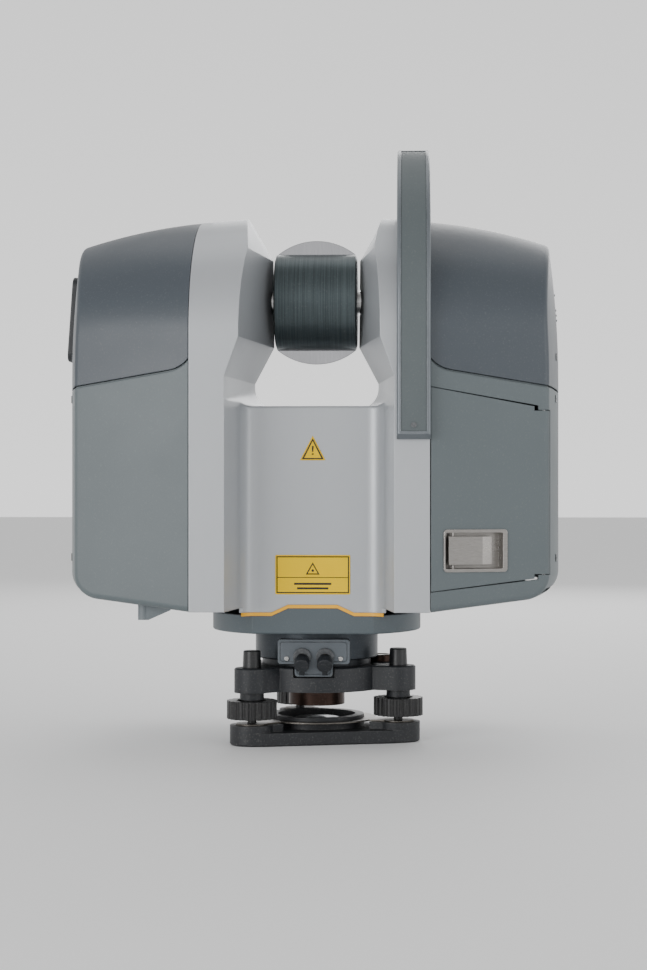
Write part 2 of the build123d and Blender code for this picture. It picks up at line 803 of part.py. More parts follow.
trim = seam_gap / 2
halves_gap = 0.1
for name, side in (("yoke_front", -1), ("yoke_rear", 1)):
    with BuildPart() as yoke_half:
        add(yoke_body.part)
        add(yoke_void.part, mode=Mode.SUBTRACT)
        with BuildSketch(Plane.XY.offset(skirt_top - 20)):
            with Locations((0, side * (head_half_depth + halves_gap) / 2)):
                Rectangle(2 * (yoke_half_width - trim), head_half_depth)
        extrude(amount=handle_top, mode=Mode.INTERSECT)
    save(yoke_half, name)

tower_x = panel_band_x - 2.0
tower_thickness = 8.0
tower_half_depth = 45.0
tower_top = shoulder_height + crown_seam - 19.0
floor_top = head_bottom + casting_wall
chassis_plate = 6.0
rotor_bearing_radius = 15.0
with BuildPart() as chassis:
    with BuildSketch(Plane.XY.offset(floor_top)):
        Rectangle(2 * (yoke_half_width - 4), 2 * (panel_depth - 5))
    extrude(amount=chassis_plate)
    with BuildSketch(Plane.XY.offset(skirt_bottom + 3.5)):
        Circle(hub_outer)
    extrude(amount=floor_top - skirt_bottom - 3.5)
    with BuildSketch(Plane.XY.offset(floor_top + chassis_plate)):
        with GridLocations(2 * tower_x + tower_thickness, 0, 2, 1):
            Rectangle(tower_thickness, 2 * tower_half_depth)
    extrude(amount=tower_top - floor_top - chassis_plate)
    with BuildSketch(Plane.YZ.offset(tower_x - 14)):
        with Locations((0, drum_axis)):
            Circle(rotor_bearing_radius + 5)
    extrude(amount=14)
    with BuildSketch(Plane.YZ.offset(-tower_x)):
        with Locations((0, drum_axis)):
            Circle(rotor_bearing_radius + 5)
    extrude(amount=14)
    with BuildSketch(Plane.YZ.offset(-2 * tower_x)):
        with Locations((0, drum_axis)):
            Circle(rotor_bearing_radius)
        with Locations((0, 190)):
            RectangleRounded(50, 110, 10)
    extrude(amount=4 * tower_x, mode=Mode.SUBTRACT)
    with BuildSketch(Plane.XY.offset(skirt_bottom)):
        Circle(bearing_outer + running_fit)
    extrude(amount=40, mode=Mode.SUBTRACT)
save(chassis, "chassis")

# ---- covers -------------------------------------------------------------------------------
upper_mask = seam_sheet(-200.0, groove)
lower_mask = seam_sheet(-groove, 250.0)
tongue_band = seam_sheet(-2.5, groove / 2)
seam_side = yoke_half_width + seam_gap

with BuildPart() as cover_shell:
    add(cover_outside)
    add(cover_inside, mode=Mode.SUBTRACT)
    with BuildSketch(Plane.YZ.offset(seam_side)):
        with Locations((0, drum_axis)):
            Rectangle(4 * head_half_depth, 4 * head_half_depth)
    extrude(amount=head_half_width, mode=Mode.INTERSECT)

with BuildPart() as tongue:
    add(tongue_outside)
    add(cover_inside, mode=Mode.SUBTRACT)
    add(tongue_band, mode=Mode.INTERSECT)
    with BuildSketch(Plane.YZ.offset(seam_side)):
        with Locations((0, drum_axis)):
            Rectangle(4 * head_half_depth, 4 * head_half_depth)
    extrude(amount=head_half_width, mode=Mode.INTERSECT)

with BuildPart() as upper_shell:
    add(cover_shell.part)
    add(upper_mask, mode=Mode.SUBTRACT)

with BuildPart() as lower_shell:
    add(cover_shell.part)
    add(lower_mask, mode=Mode.SUBTRACT)
    add(tongue.part)

vent_slots = 5
vent_pitch = 4.0
with BuildPart() as cover_upper_right:
    add(upper_shell.part)
    with BuildSketch(Plane.YZ.offset(yoke_half_width + 30)):
        with Locations((0, bezel_z + 6)):
            with GridLocations(0, vent_pitch, 1, vent_slots):
                SlotOverall(60, 1.6)
    extrude(amount=head_half_width, mode=Mode.SUBTRACT)
save(cover_upper_right, "cover_upper_right")

# Display on the left side, on a plane that follows the leaning side surface
lean = bezel_z - taper_start
display_x = head_half_width - lean**2 / (2 * lean_radius)
lean_angle = atan2(lean, lean_radius)
display_plane = Plane(
    origin=(-display_x, 0, bezel_z), x_dir=(0, -1, 0), z_dir=(-cos(lean_angle), 0, sin(lean_angle))
)
bezel_back = 6.0
button_spot = (0, -display_height / 2 + 9)
glass_spot = (0, 6)
button_radius = 5.4
with BuildPart() as cover_upper_left:
    add(upper_shell.part)
    mirror(about=Plane.YZ, mode=Mode.REPLACE)
    with BuildSketch(display_plane.offset(-bezel_back - 4)):
        RectangleRounded(display_width, display_height, 6)
    extrude(amount=20, mode=Mode.SUBTRACT)
save(cover_upper_left, "cover_upper_left")

with BuildPart() as display_bezel:
    with BuildSketch(display_plane.offset(-bezel_back)):
        RectangleRounded(display_width, display_height, 6)
    extrude(amount=bezel_back + 1.6)
    fillet(display_bezel.faces().sort_by(Axis.X)[0].edges(), 1.0)
    with BuildSketch(display_plane.offset(0.4)):
        with Locations(glass_spot):
            RectangleRounded(display_width - 22, display_height - 22, 2)
    extrude(amount=4, mode=Mode.SUBTRACT)
    with BuildSketch(display_plane.offset(-bezel_back)):
        with Locations(button_spot):
            Circle(button_radius + 0.3)
    extrude(amount=20, mode=Mode.SUBTRACT)
save(display_bezel, "display_bezel")

with BuildPart() as display_glass:
    with BuildSketch(display_plane.offset(0.4)):
        with Locations(glass_spot):
            RectangleRounded(display_width - 22, display_height - 22, 2)
    extrude(amount=1.0)
save(display_glass, "display_glass")

with BuildPart() as power_button:
    with BuildSketch(display_plane.offset(-bezel_back + 1.5)):
        with Locations(button_spot):
            Circle(button_radius)
    extrude(amount=bezel_back + 1.0)
    fillet(power_button.faces().sort_by(Axis.X)[0].edges(), 0.5)
save(power_button, "power_button")

# Small door over a data port on the left cover's rear face
port_plane = rear_plane_left(yoke_half_width + 34, 150)
port_width = 34.0
port_height = 18.0
with BuildPart() as cover_lower_left:
    add(lower_shell.part)
    mirror(about=Plane.YZ, mode=Mode.REPLACE)
    with BuildSketch(port_plane.offset(-9)):
        Rectangle(port_width + 6, port_height + 6)
    extrude(amount=8)
    with BuildSketch(port_plane.offset(-7)):
        RectangleRounded(port_width, port_height, 0.6)
    extrude(amount=12, mode=Mode.SUBTRACT)
save(cover_lower_left, "cover_lower_left")

flap_width = port_width - 0.8
flap_height = port_height - 0.8
flap_thickness = 2.4
flap_pivot = flap_thickness / 2
with BuildPart() as usb_door:
    with BuildSketch(port_plane.offset(-flap_thickness)):
        with Locations((0, flap_pivot / 2)):
            Rectangle(flap_width, flap_height - flap_pivot)
    extrude(amount=flap_thickness)
    flap_end = Plane(port_plane.location * Location((-flap_width / 2, -flap_height / 2 + flap_pivot, -flap_pivot)))
    with BuildSketch(Plane(origin=flap_end.origin, x_dir=port_plane.y_dir, z_dir=port_plane.x_dir)):
        Circle(flap_pivot)
    extrude(amount=flap_width)
save(usb_door, "usb_door")

with BuildPart() as tape_hook:
    with BuildSketch(Plane.XZ.offset(corner_y - 3)):
        with BuildLine():
            hook_x = yoke_half_width + 15
            Polyline(
                (-hook_x, head_bottom + 10),
                (-hook_x - 21, head_bottom + 10),
                (-hook_x - 21, head_bottom - 6.7),
                (-hook_x - 14, head_bottom - 6.7),
                (-hook_x, head_bottom - 0.5),
                close=True,
            )
        make_face()
    extrude(amount=6)
    with BuildSketch(Plane.XY.offset(head_bottom - 6.7)):
        with Locations((-hook_x - 17.5, -corner_y)):
            Circle(3.5)
    extrude(amount=12)
    add(cover_outside.mirror(Plane.YZ), mode=Mode.SUBTRACT)
save(tape_hook, "tape_hook")

# ---- battery door -------------------------------------------------------------------------
door_step_x = yoke_half_width + 68.0
door_top = 239.6
door_top_drop = 11.8
door_top_outer = 225.0
door_bottom = 107.8
door_bottom_rise = 7.8
door_bottom_outer = 118.5
step_gap = 2.6  # lets the step's corner swing past the cover
pin_radius = 1.4
out_dir = front_plane(hinge_x, 0).z_dir


def door_outline(inner_x, grow, step_x):
    """Front outline of the battery door, stepped in near the hinge at step_x, enlarged by grow."""
    with BuildPart() as outline:
        with BuildSketch(Plane.XZ):
            with BuildLine():
                Polyline(
                    (inner_x, door_top + grow),
                    (step_x, door_top - door_top_drop + grow),
                    (step_x, door_top_outer + grow),
                    (head_half_width + 5, door_top_outer + grow),
                    (head_half_width + 5, door_bottom_outer - grow),
                    (step_x, door_bottom_outer - grow),
                    (step_x, door_bottom + door_bottom_rise - grow),
                    (inner_x, door_bottom - grow),
                    close=True,
                )
            make_face()
        extrude(amount=2 * head_half_depth)
    return outline.part


def door_plan(left, outside, inside, barrel):
    """Plan of the door's slab from its free edge to the hinge, with the round hinge edge."""
    hinge = Vector(hinge_x, hinge_y, 0)
    free = Vector(left, -front_at(left), 0)
    near = hinge + out_dir * (rim_radius + outside)
    far = hinge + out_dir * (rim_radius - inside)
    with BuildSketch(Plane.XY.offset(head_bottom)) as plan:
        with BuildLine():
            corners = (free + out_dir * outside, near, far, free - out_dir * inside)
            Polyline(*[(c.X, c.Y) for c in corners], close=True)
        make_face()
        with Locations((hinge_x, hinge_y)):
            Circle(barrel)
    return plan.sketch


latch_plane = front_plane(latch_x, latch_z)
tray_spot = (-1.0, 0)
tray_wall = 0.8
bolt_half = 3.0
bolt_low = tray_depth + 0.3
bolt_thickness = 2.7
guide_left = -25.2
with BuildPart() as battery_door:
    extrude(door_plan(seam_side - 2, 0, door_thickness, rim_radius), amount=180)
    add(door_outline(seam_side + 0.3, 0, door_step_x), mode=Mode.INTERSECT)
    with BuildSketch(latch_plane):
        with Locations(tray_spot):
            RectangleRounded(tray_width + 2 * tray_wall, tray_height + 2 * tray_wall, 2)
    extrude(amount=-2 * door_thickness, mode=Mode.SUBTRACT)
    with BuildSketch(latch_plane.offset(-door_thickness)):
        with Locations((guide_left + 1.9, 0)):
            Rectangle(3.8, 12)
    extrude(amount=-9.4)
    with BuildSketch(latch_plane.offset(-bolt_low + 0.3)):
        with Locations((guide_left + 1.9, 0)):
            Rectangle(6, 2 * bolt_half + 0.6)
    extrude(amount=-bolt_thickness - 0.6, mode=Mode.SUBTRACT)
    with BuildSketch(Plane.XY.offset(door_bottom_outer)):
        with Locations((hinge_x, hinge_y)):
            Circle(pin_radius + running_fit)
    extrude(amount=6, mode=Mode.SUBTRACT)
    with BuildSketch(Plane.XY.offset(door_top_outer - 6)):
        with Locations((hinge_x, hinge_y)):
            Circle(pin_radius + running_fit)
    extrude(amount=10, mode=Mode.SUBTRACT)
save(battery_door, "battery_door")

boss_height = 11.0
boss_starts = (door_bottom_outer - door_gap - boss_height, door_top_outer + door_gap)
door_space = extrude(
    door_plan(yoke_half_width - 5, 6, door_thickness + 2, rim_radius + 0.4), amount=180, mode=Mode.PRIVATE
)
with BuildPart() as door_opening:
    add(door_space)
    add(door_outline(yoke_half_width - 0.2, door_gap, door_step_x + step_gap), mode=Mode.INTERSECT)

with BuildPart() as hinge_bosses:
    for start in boss_starts:
        with BuildSketch(Plane.XY.offset(start)):
            with Locations((hinge_x, hinge_y)):
                Circle(rim_radius)
        extrude(amount=boss_height)
    add(cover_outside, mode=Mode.INTERSECT)

with BuildPart() as cover_lower_right:
    add(lower_shell.part)
    add(door_opening.part, mode=Mode.SUBTRACT)
    add(hinge_bosses.part)
    with BuildSketch(Plane.XY.offset(head_bottom)):
        with Locations((hinge_x, hinge_y)):
            Circle(pin_radius)
    extrude(amount=160, mode=Mode.SUBTRACT)
save(cover_lower_right, "cover_lower_right")

with BuildPart() as hinge_pins:
    for start in (door_bottom_outer - 9, door_top_outer - 5):
        with BuildSketch(Plane.XY.offset(start)):
            with Locations((hinge_x, hinge_y)):
                Circle(pin_radius)
        extrude(amount=14)
save(hinge_pins, "hinge_pins")

pivot_spot = (-14.3, -3.5)  # along the door from the latch's middle, and depth
with BuildPart() as latch_tray:
    with BuildSketch(latch_plane):
        RectangleRounded(bezel_width, bezel_height, 2.2)
    extrude(amount=0.8)
    with BuildSketch(latch_plane):
        with Locations(tray_spot):
            RectangleRounded(tray_width + 2 * tray_wall, tray_height + 2 * tray_wall, 2)
    extrude(amount=-tray_depth)
    with BuildSketch(latch_plane.offset(-tray_depth + tray_wall)):
        with Locations(tray_spot):
            RectangleRounded(tray_width, tray_height, 1.2)
    extrude(amount=tray_depth + 1, mode=Mode.SUBTRACT)
    latch_side = Plane(origin=latch_plane.origin, x_dir=latch_plane.x_dir, z_dir=-latch_plane.y_dir)
    with BuildSketch(latch_side.offset(-tray_height)):
        with Locations(pivot_spot):
            Circle(1.25)
    extrude(amount=2 * tray_height, mode=Mode.SUBTRACT)
save(latch_tray, "latch_tray")

with BuildPart() as latch_paddle:
    with BuildSketch(latch_side.offset(-paddle_height / 2)):
        with BuildLine():
            Polyline(
                (-17.6, -1.2),
                (5.4, -1.2),
                (12.4, -3.4),
                (12.4, -4.8),
                (5.1, -2.6),
                (-17.6, -2.6),
                close=True,
            )
        make_face()
        with Locations(pivot_spot):
            Circle(1.9)
    extrude(amount=paddle_height)
    with BuildSketch(latch_side.offset(-tray_height / 2 - tray_wall)):
        with Locations(pivot_spot):
            Circle(1.2)
    extrude(amount=tray_height + 2 * tray_wall)
save(latch_paddle, "latch_paddle")

with BuildPart() as latch_bolt:
    with BuildSketch(latch_plane.offset(-bolt_low)):
        with Locations((guide_left + 12.7, 0)):
            Rectangle(25, 2 * bolt_half)
    extrude(amount=-bolt_thickness)
save(latch_bolt, "latch_bolt")

# ---- battery and its bay ------------------------------------------------------------------
bay_plane = front_plane(yoke_half_width + 34, 174, bay_depth)
battery_width = 50.0
battery_height = 94.0
battery_length = head_half_depth - 58.0
bay_wall = 2.0
bay_fit = 0.6
with BuildPart() as battery_bay:
    with BuildSketch(bay_plane):
        RectangleRounded(battery_width + 16, battery_height + 16, 3)
    extrude(amount=-bay_wall)
    with BuildSketch(bay_plane):
        Rectangle(battery_width + 2 * bay_fit + 2 * bay_wall, battery_height + 2 * bay_fit + 2 * bay_wall)
    extrude(amount=-battery_length - 6)
    with BuildSketch(Plane.YZ.offset(tower_x + tower_thickness)):
        with GridLocations(0, 70, 1, 2):
            with Locations((-30, 174)):
                Rectangle(14, 16)
    extrude(amount=16)
    with BuildSketch(bay_plane):
        Rectangle(battery_width + 2 * bay_fit, battery_height + 2 * bay_fit)
    extrude(amount=-battery_length - 6 + bay_wall, mode=Mode.SUBTRACT)
save(battery_bay, "battery_bay")

with BuildPart() as battery_pack:
    with BuildSketch(bay_plane.offset(-1)):
        Rectangle(battery_width, battery_height)
    extrude(amount=-battery_length + 2)
    chamfer(battery_pack.edges().filter_by(lambda e: e.length > battery_length - 3), 1.5)
    with BuildSketch(bay_plane.offset(-1 - battery_length + 2)):
        Rectangle(battery_width, 30)
    extrude(amount=-5)
save(battery_pack, "battery_pack")

# ---- handle -------------------------------------------------------------------------------
def bow_region(x, inset, end):
    """Side profile inside the bow's outer line, moved in by inset, down to a level end."""
    half = handle_front - inset
    rise = handle_top - handle_curve_z - inset
    with BuildSketch(Plane.YZ.offset(x)) as region:
        with BuildLine():
            EllipticalCenterArc((0, handle_curve_z), half, rise, start_angle=0, arc_size=180)
            Polyline((-half, handle_curve_z), (-half, end), (half, end), (half, handle_curve_z))
        make_face()
    return region.sketch


grip_half = 28.0
inlay_end = handle_end + 5.0
handle_left = handle_x - handle_width / 2
inlay_left = handle_x - inlay_width / 2
with BuildPart() as handle_blank:
    extrude(bow_region(handle_left, 0, handle_end), amount=handle_width)
    with BuildSketch(Plane.YZ.offset(handle_left)):
        with BuildLine():
            Polyline(
                (-handle_front - 1, inlay_end - 1),
                (-head_half_depth, handle_end - 2),
                (-handle_front - 1, handle_end - 2),
                close=True,
            )
        make_face()
        mirror(about=Plane.YZ)
    extrude(amount=handle_width, mode=Mode.SUBTRACT)
    outer_edges = handle_blank.edges().filter_by(lambda e: abs(e.center().X - handle_x) > 1)
    fillet(outer_edges.filter_by(lambda e: e.length > 60 and e.center().Z > handle_end + 10), 2.0)
    extrude(bow_region(handle_left, handle_thickness, handle_end - 20), amount=handle_width, mode=Mode.SUBTRACT)
    add(yoke_body.part, mode=Mode.SUBTRACT)
    with BuildSketch(Plane.XY.offset(handle_end - 10)):
        Rectangle(4 * yoke_half_width, 2 * head_half_depth)
    extrude(amount=shoulder_height - handle_end + 10, mode=Mode.SUBTRACT)
    add(yoke_envelope(0.0), mode=Mode.SUBTRACT)
    add(cover_outside, mode=Mode.SUBTRACT)

with BuildPart() as inlay_ring:
    extrude(bow_region(inlay_left, 0.4, inlay_end), amount=inlay_width)
    extrude(bow_region(inlay_left, inlay_depth, inlay_end - 10), amount=inlay_width, mode=Mode.SUBTRACT)

with BuildPart() as grip_zone:
    with BuildSketch(Plane.XY.offset(handle_curve_z)):
        with Locations((handle_x, 0)):
            Rectangle(2 * handle_width, 2 * grip_half)
    extrude(amount=handle_top)

with BuildPart() as handle_grip:
    add(handle_blank.part)
    add(grip_zone.part, mode=Mode.INTERSECT)
    extrude(bow_region(handle_left, 4.0, handle_end), amount=handle_width, mode=Mode.SUBTRACT)
save(handle_grip, "handle_grip")

with BuildPart() as handle_inlay:
    add(inlay_ring.part)
    add(grip_zone.part, mode=Mode.SUBTRACT)
save(handle_inlay, "handle_inlay")

with BuildPart() as inlay_trim:
    extrude(bow_region(inlay_left, -1, inlay_end), amount=inlay_width)
    extrude(bow_region(inlay_left, inlay_depth, inlay_end - 10), amount=inlay_width, mode=Mode.SUBTRACT)

with BuildPart() as handle_bow:
    add(handle_blank.part)
    add(handle_grip.part, mode=Mode.SUBTRACT)
    add(handle_inlay.part, mode=Mode.SUBTRACT)
    add(inlay_trim.part, mode=Mode.SUBTRACT)
save(handle_bow, "handle_bow")

with BuildPart() as handle_screws:
    for side in (-1, 1):
        with BuildSketch(Plane.XZ.offset(-side * (handle_front - 0.4))):
            with Locations((handle_x, inlay_end + 4)):
                Circle(1.8)
        extrude(amount=-side * 0.5)
save(handle_screws, "handle_screws")

# ---- plates on the centre panels ----------------------------------------------------------
label_x, label_z = 50.3, 26.4
triangle_base, triangle_height = 17.0, 16.4
with BuildPart() as label_plates:
    with BuildSketch(Plane.XZ.offset(panel_depth)):
        with Locations((0, head_bottom + 22.1)):
            RectangleRounded(label_x, label_z, 0.8)
        with BuildLine():
            middle = head_bottom + 107.0
            Polyline(
                (-triangle_base / 2, middle - triangle_height / 2),
                (triangle_base / 2, middle - triangle_height / 2),
                (0, middle + triangle_height / 2),
                close=True,
            )
        make_face()
    extrude(amount=0.4)
save(label_plates, "label_plates")

with BuildPart() as type_plate:
    with BuildSketch(Plane.XZ.offset(-panel_depth)):
        with Locations((0, head_bottom + 60)):
            RectangleRounded(56, 34, 1.5)
    extrude(amount=-0.6)
save(type_plate, "type_plate")

# ---- drum ---------------------------------------------------------------------------------
drum_plane = Plane.YZ.offset(-drum_half_length)
window_half = 15.0
barrel_wall = 4.0
with BuildPart() as drum_barrel:
    with BuildSketch(drum_plane):
        with Locations((0, drum_axis)):
            Circle(drum_radius)
    extrude(amount=2 * drum_half_length)
    chamfer(drum_barrel.edges().filter_by(GeomType.CIRCLE), 1.0, 3.0)
    with BuildSketch(drum_plane.offset(barrel_wall)):
        with Locations((0, drum_axis)):
            Circle(drum_radius - barrel_wall)
    extrude(amount=2 * (drum_half_length - barrel_wall), mode=Mode.SUBTRACT)
    with BuildSketch(Plane.XZ):
        with Locations((0, drum_axis)):
            Rectangle(2 * window_half + 4, 2 * window_half + 4)
    extrude(amount=-drum_radius - 2, mode=Mode.SUBTRACT)
    with BuildSketch(drum_plane):
        with Locations((0, drum_axis)):
            Circle(shaft_radius)
    extrude(amount=2 * drum_half_length, mode=Mode.SUBTRACT)
save(drum_barrel, "drum_barrel")

dome_end = sqrt(dome_radius**2 - drum_radius**2)
with BuildPart() as drum_dome:
    with BuildSketch(Plane.XZ):
        with BuildLine():
            dome_line = ThreePointArc(
                (-dome_end, drum_axis + drum_radius),
                (0, drum_axis + dome_radius),
                (dome_end, drum_axis + drum_radius),
            )
            Line(dome_line @ 1, dome_line @ 0)
        make_face()
    revolve(axis=Axis((0, 0, drum_axis), (-1, 0, 0)), revolution_arc=180)
    with BuildSketch(Plane.XZ):
        with Locations((0, drum_axis)):
            Rectangle(2 * window_half, 2 * window_half)
    extrude(amount=-dome_radius - 2, mode=Mode.SUBTRACT)
save(drum_dome, "drum_dome")

with BuildPart() as drum_window:
    with BuildSketch(Plane.XZ.offset(-drum_radius - 3)):
        with Locations((0, drum_axis)):
            Rectangle(2 * window_half, 2 * window_half)
    extrude(amount=-2.0)
save(drum_window, "drum_window")

mirror_plane = Plane(origin=(0, 0, drum_axis), x_dir=(0, 0, 1), z_dir=(-1, 1, 0))
with BuildPart() as scan_mirror:
    with BuildSketch(mirror_plane):
        Rectangle(2 * window_half + 16, 2 * drum_radius)
    extrude(amount=-4)
    with BuildSketch(drum_plane.offset(barrel_wall)):
        with Locations((0, drum_axis)):
            Circle(drum_radius - barrel_wall)
    extrude(amount=2 * (drum_half_length - barrel_wall), mode=Mode.INTERSECT)
save(scan_mirror, "scan_mirror")

left_end = tower_x + 4
motor_start = tower_x + tower_thickness + 2
motor_length = 16.0
with BuildPart() as drum_shaft:
    with BuildSketch(Plane.YZ.offset(-left_end)):
        with Locations((0, drum_axis)):
            Circle(shaft_radius)
            Circle(shaft_radius - 3, mode=Mode.SUBTRACT)
    extrude(amount=left_end - drum_half_length + barrel_wall)
    with BuildSketch(Plane.YZ.offset(drum_half_length - barrel_wall)):
        with Locations((0, drum_axis)):
            Circle(shaft_radius)
    extrude(amount=motor_start + motor_length - drum_half_length + barrel_wall)
    with BuildSketch(Plane.YZ.offset(motor_start)):
        with Locations((0, drum_axis)):
            Circle(13.4)
    extrude(amount=motor_length)
save(drum_shaft, "drum_shaft")

with BuildPart() as rotor_bearings:
    for start in (-tower_x + 2, tower_x - 12):
        with BuildSketch(Plane.YZ.offset(start)):
            with Locations((0, drum_axis)):
                Circle(rotor_bearing_radius)
                Circle(shaft_radius + running_fit, mode=Mode.SUBTRACT)
        extrude(amount=10)
save(rotor_bearings, "rotor_bearings")

with BuildPart() as motor_stator:
    with BuildSketch(Plane.YZ.offset(tower_x + tower_thickness)):
        with Locations((0, drum_axis)):
            Circle(26)
            Circle(14.4, mode=Mode.SUBTRACT)
    extrude(amount=motor_length + 3)
save(motor_stator, "motor_stator")

# ---- optics and electronics inside --------------------------------------------------------
optics_x = tower_x + tower_thickness
with BuildPart() as rangefinder:
    with BuildSketch(Plane.YZ.offset(-optics_x - 74)):
        with Locations((0, drum_axis)):
            RectangleRounded(62, 50, 4)
    extrude(amount=60)
    with BuildSketch(Plane.YZ.offset(-optics_x - 20)):
        with Locations((0, drum_axis)):
            Circle(20)
    extrude(amount=20)
    with BuildSketch(Plane.YZ.offset(-optics_x - 12)):
        with Locations((0, drum_axis)):
            Circle(12)
    extrude(amount=12, mode=Mode.SUBTRACT)
save(rangefinder, "rangefinder")

with BuildPart() as receiver_lens:
    with BuildSketch(Plane.YZ.offset(-optics_x - 12)):
        with Locations((0, drum_axis)):
            Circle(12)
    extrude(amount=5)
save(receiver_lens, "receiver_lens")

with BuildPart() as circuit_board:
    with BuildSketch(Plane.YZ.offset(-optics_x - 32)):
        with Locations((0, 176)):
            Rectangle(130, 100)
    extrude(amount=2)
    with BuildSketch(Plane.YZ.offset(-optics_x - 30)):
        with Locations((0, 176)):
            with GridLocations(68, 84, 2, 2):
                Circle(3)
    extrude(amount=30)
    with BuildSketch(Plane.YZ.offset(-optics_x - 36)):
        with Locations((-20, 190), (28, 196), (10, 150), (-42, 148)):
            Rectangle(22, 18)
    extrude(amount=4)
save(circuit_board, "circuit_board")
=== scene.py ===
import math

import bmesh
import bpy
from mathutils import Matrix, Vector


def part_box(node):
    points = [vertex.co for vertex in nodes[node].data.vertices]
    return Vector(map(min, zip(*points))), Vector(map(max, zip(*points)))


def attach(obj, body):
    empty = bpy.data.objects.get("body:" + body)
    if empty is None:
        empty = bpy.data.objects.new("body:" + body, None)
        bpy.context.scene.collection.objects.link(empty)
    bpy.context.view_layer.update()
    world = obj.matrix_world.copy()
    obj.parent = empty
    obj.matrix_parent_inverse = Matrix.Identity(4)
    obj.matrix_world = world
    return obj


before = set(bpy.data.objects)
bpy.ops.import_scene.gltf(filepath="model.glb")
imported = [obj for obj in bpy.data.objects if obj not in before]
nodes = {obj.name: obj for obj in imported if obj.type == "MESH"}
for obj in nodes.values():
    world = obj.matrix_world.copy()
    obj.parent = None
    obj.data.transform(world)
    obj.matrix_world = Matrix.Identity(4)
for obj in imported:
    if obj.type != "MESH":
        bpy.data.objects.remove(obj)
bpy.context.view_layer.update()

# ---- Studio: floor, light and camera -----------------------------------------------------
# A pale sheet of matt board lies under the instrument. Four soft boxes light it from the front
# left, the right, above and behind. The camera stands level in front, slightly to the right.
floor_half = 9.0
board_colour = (0.93, 0.93, 0.93, 1)
board_roughness = 0.7
horizon_light = 1.35
zenith_light = 0.45


def tone(red, green, blue):
    """A colour given in 0 to 255 steps, as the shader's linear values."""
    def linear(step):
        share = step / 255.0
        return share / 12.92 if share <= 0.04045 else ((share + 0.055) / 1.055) ** 2.4
    return (linear(red), linear(green), linear(blue), 1.0)


def wire(tree, start, end):
    """Joins an output socket to an input socket."""
    tree.links.new(start, end)


def add_node(tree, kind, **settings):
    """A shader or geometry node with its properties and, by name, its input values."""
    made = tree.nodes.new(kind)
    for key, value in settings.items():
        if key.startswith("in_"):
            made.inputs[key[3:].replace("_", " ")].default_value = value
        else:
            setattr(made, key, value)
    return made


def mesh_object(name, shape, materials=()):
    """A new object from a bmesh, with its faces turned outwards."""
    bmesh.ops.recalc_face_normals(shape, faces=shape.faces)
    data = bpy.data.meshes.new(name)
    shape.to_mesh(data)
    shape.free()
    for material in materials:
        data.materials.append(material)
    piece = bpy.data.objects.new(name, data)
    bpy.context.scene.collection.objects.link(piece)
    return piece


board = bpy.data.materials.new("floor_board")
board.use_nodes = True
board_shader = board.node_tree.nodes["Principled BSDF"]
board_shader.inputs["Base Color"].default_value = board_colour
board_shader.inputs["Roughness"].default_value = board_roughness
floor_shape = bmesh.new()
bmesh.ops.create_grid(floor_shape, x_segments=1, y_segments=1, size=floor_half)
floor = mesh_object("floor", floor_shape, [board])

world = bpy.data.worlds.new("studio")
bpy.context.scene.world = world
world.use_nodes = True
world.node_tree.nodes["Background"].inputs["Color"].default_value = (1.0, 1.0, 1.0, 1)
room_light = world.node_tree
room_way = add_node(room_light, "ShaderNodeTexCoord")
room_split = add_node(room_light, "ShaderNodeSeparateXYZ")
room_fade = add_node(room_light, "ShaderNodeMapRange", in_To_Min=horizon_light, in_To_Max=zenith_light)
wire(room_light, room_way.outputs["Generated"], room_split.inputs["Vector"])
wire(room_light, room_split.outputs["Z"], room_fade.inputs["Value"])
wire(room_light, room_fade.outputs["Result"], room_light.nodes["Background"].inputs["Strength"])


def soft_box(name, place, target, width, height, power):
    """A rectangular area light at place, facing target."""
    lamp = bpy.data.lights.new(name, "AREA")
    lamp.shape = "RECTANGLE"
    lamp.size = width
    lamp.size_y = height
    lamp.energy = power
    box = bpy.data.objects.new(name, lamp)
    box.location = place
    box.rotation_mode = "QUATERNION"
    box.rotation_quaternion = (Vector(target) - Vector(place)).to_track_quat("-Z", "Y")
    box.visible_camera = False
    bpy.context.scene.collection.objects.link(box)


soft_box("box_left", (-1.1, -1.5, 0.35), (0, 0, 0.15), 0.9, 0.9, 12)
soft_box("box_right", (1.6, -1.0, 0.5), (0, 0, 0.15), 0.7, 1.0, 4)
soft_box("box_top", (0.0, 0.5, 1.7), (0, 0, 0.2), 1.4, 1.0, 4)
soft_box("box_rear", (0.3, 1.7, 1.0), (0, 0, 0.2), 1.2, 1.0, 10)

camera_distance = 1.400
camera_side = math.radians(2.4)
camera_offset = 0.0047
camera_height = 0.1778
lens_focus = 74.23
camera_data = bpy.data.cameras.new("camera")
camera_data.sensor_fit = "VERTICAL"
camera_data.sensor_width = 36.0
camera_data.sensor_height = 36.0
camera_data.lens = lens_focus
camera_data.shift_y = -0.002
camera_data.clip_start = 0.05
camera = bpy.data.objects.new("camera", camera_data)
camera.location = (
    camera_distance * math.sin(camera_side) + camera_offset * math.cos(camera_side),
    -camera_distance * math.cos(camera_side) + camera_offset * math.sin(camera_side),
    camera_height,
)
camera.rotation_euler = (math.pi / 2, 0, camera_side)
bpy.context.scene.collection.objects.link(camera)
bpy.context.scene.camera = camera

# ---- Tribrach base ------------------------------------------------------------------------
# The lower plate of the tribrach is cast aluminium, stove-enamelled in a fine black wrinkle
# finish and turned bare on the threaded bush. The three foot screws are seated in its corners.


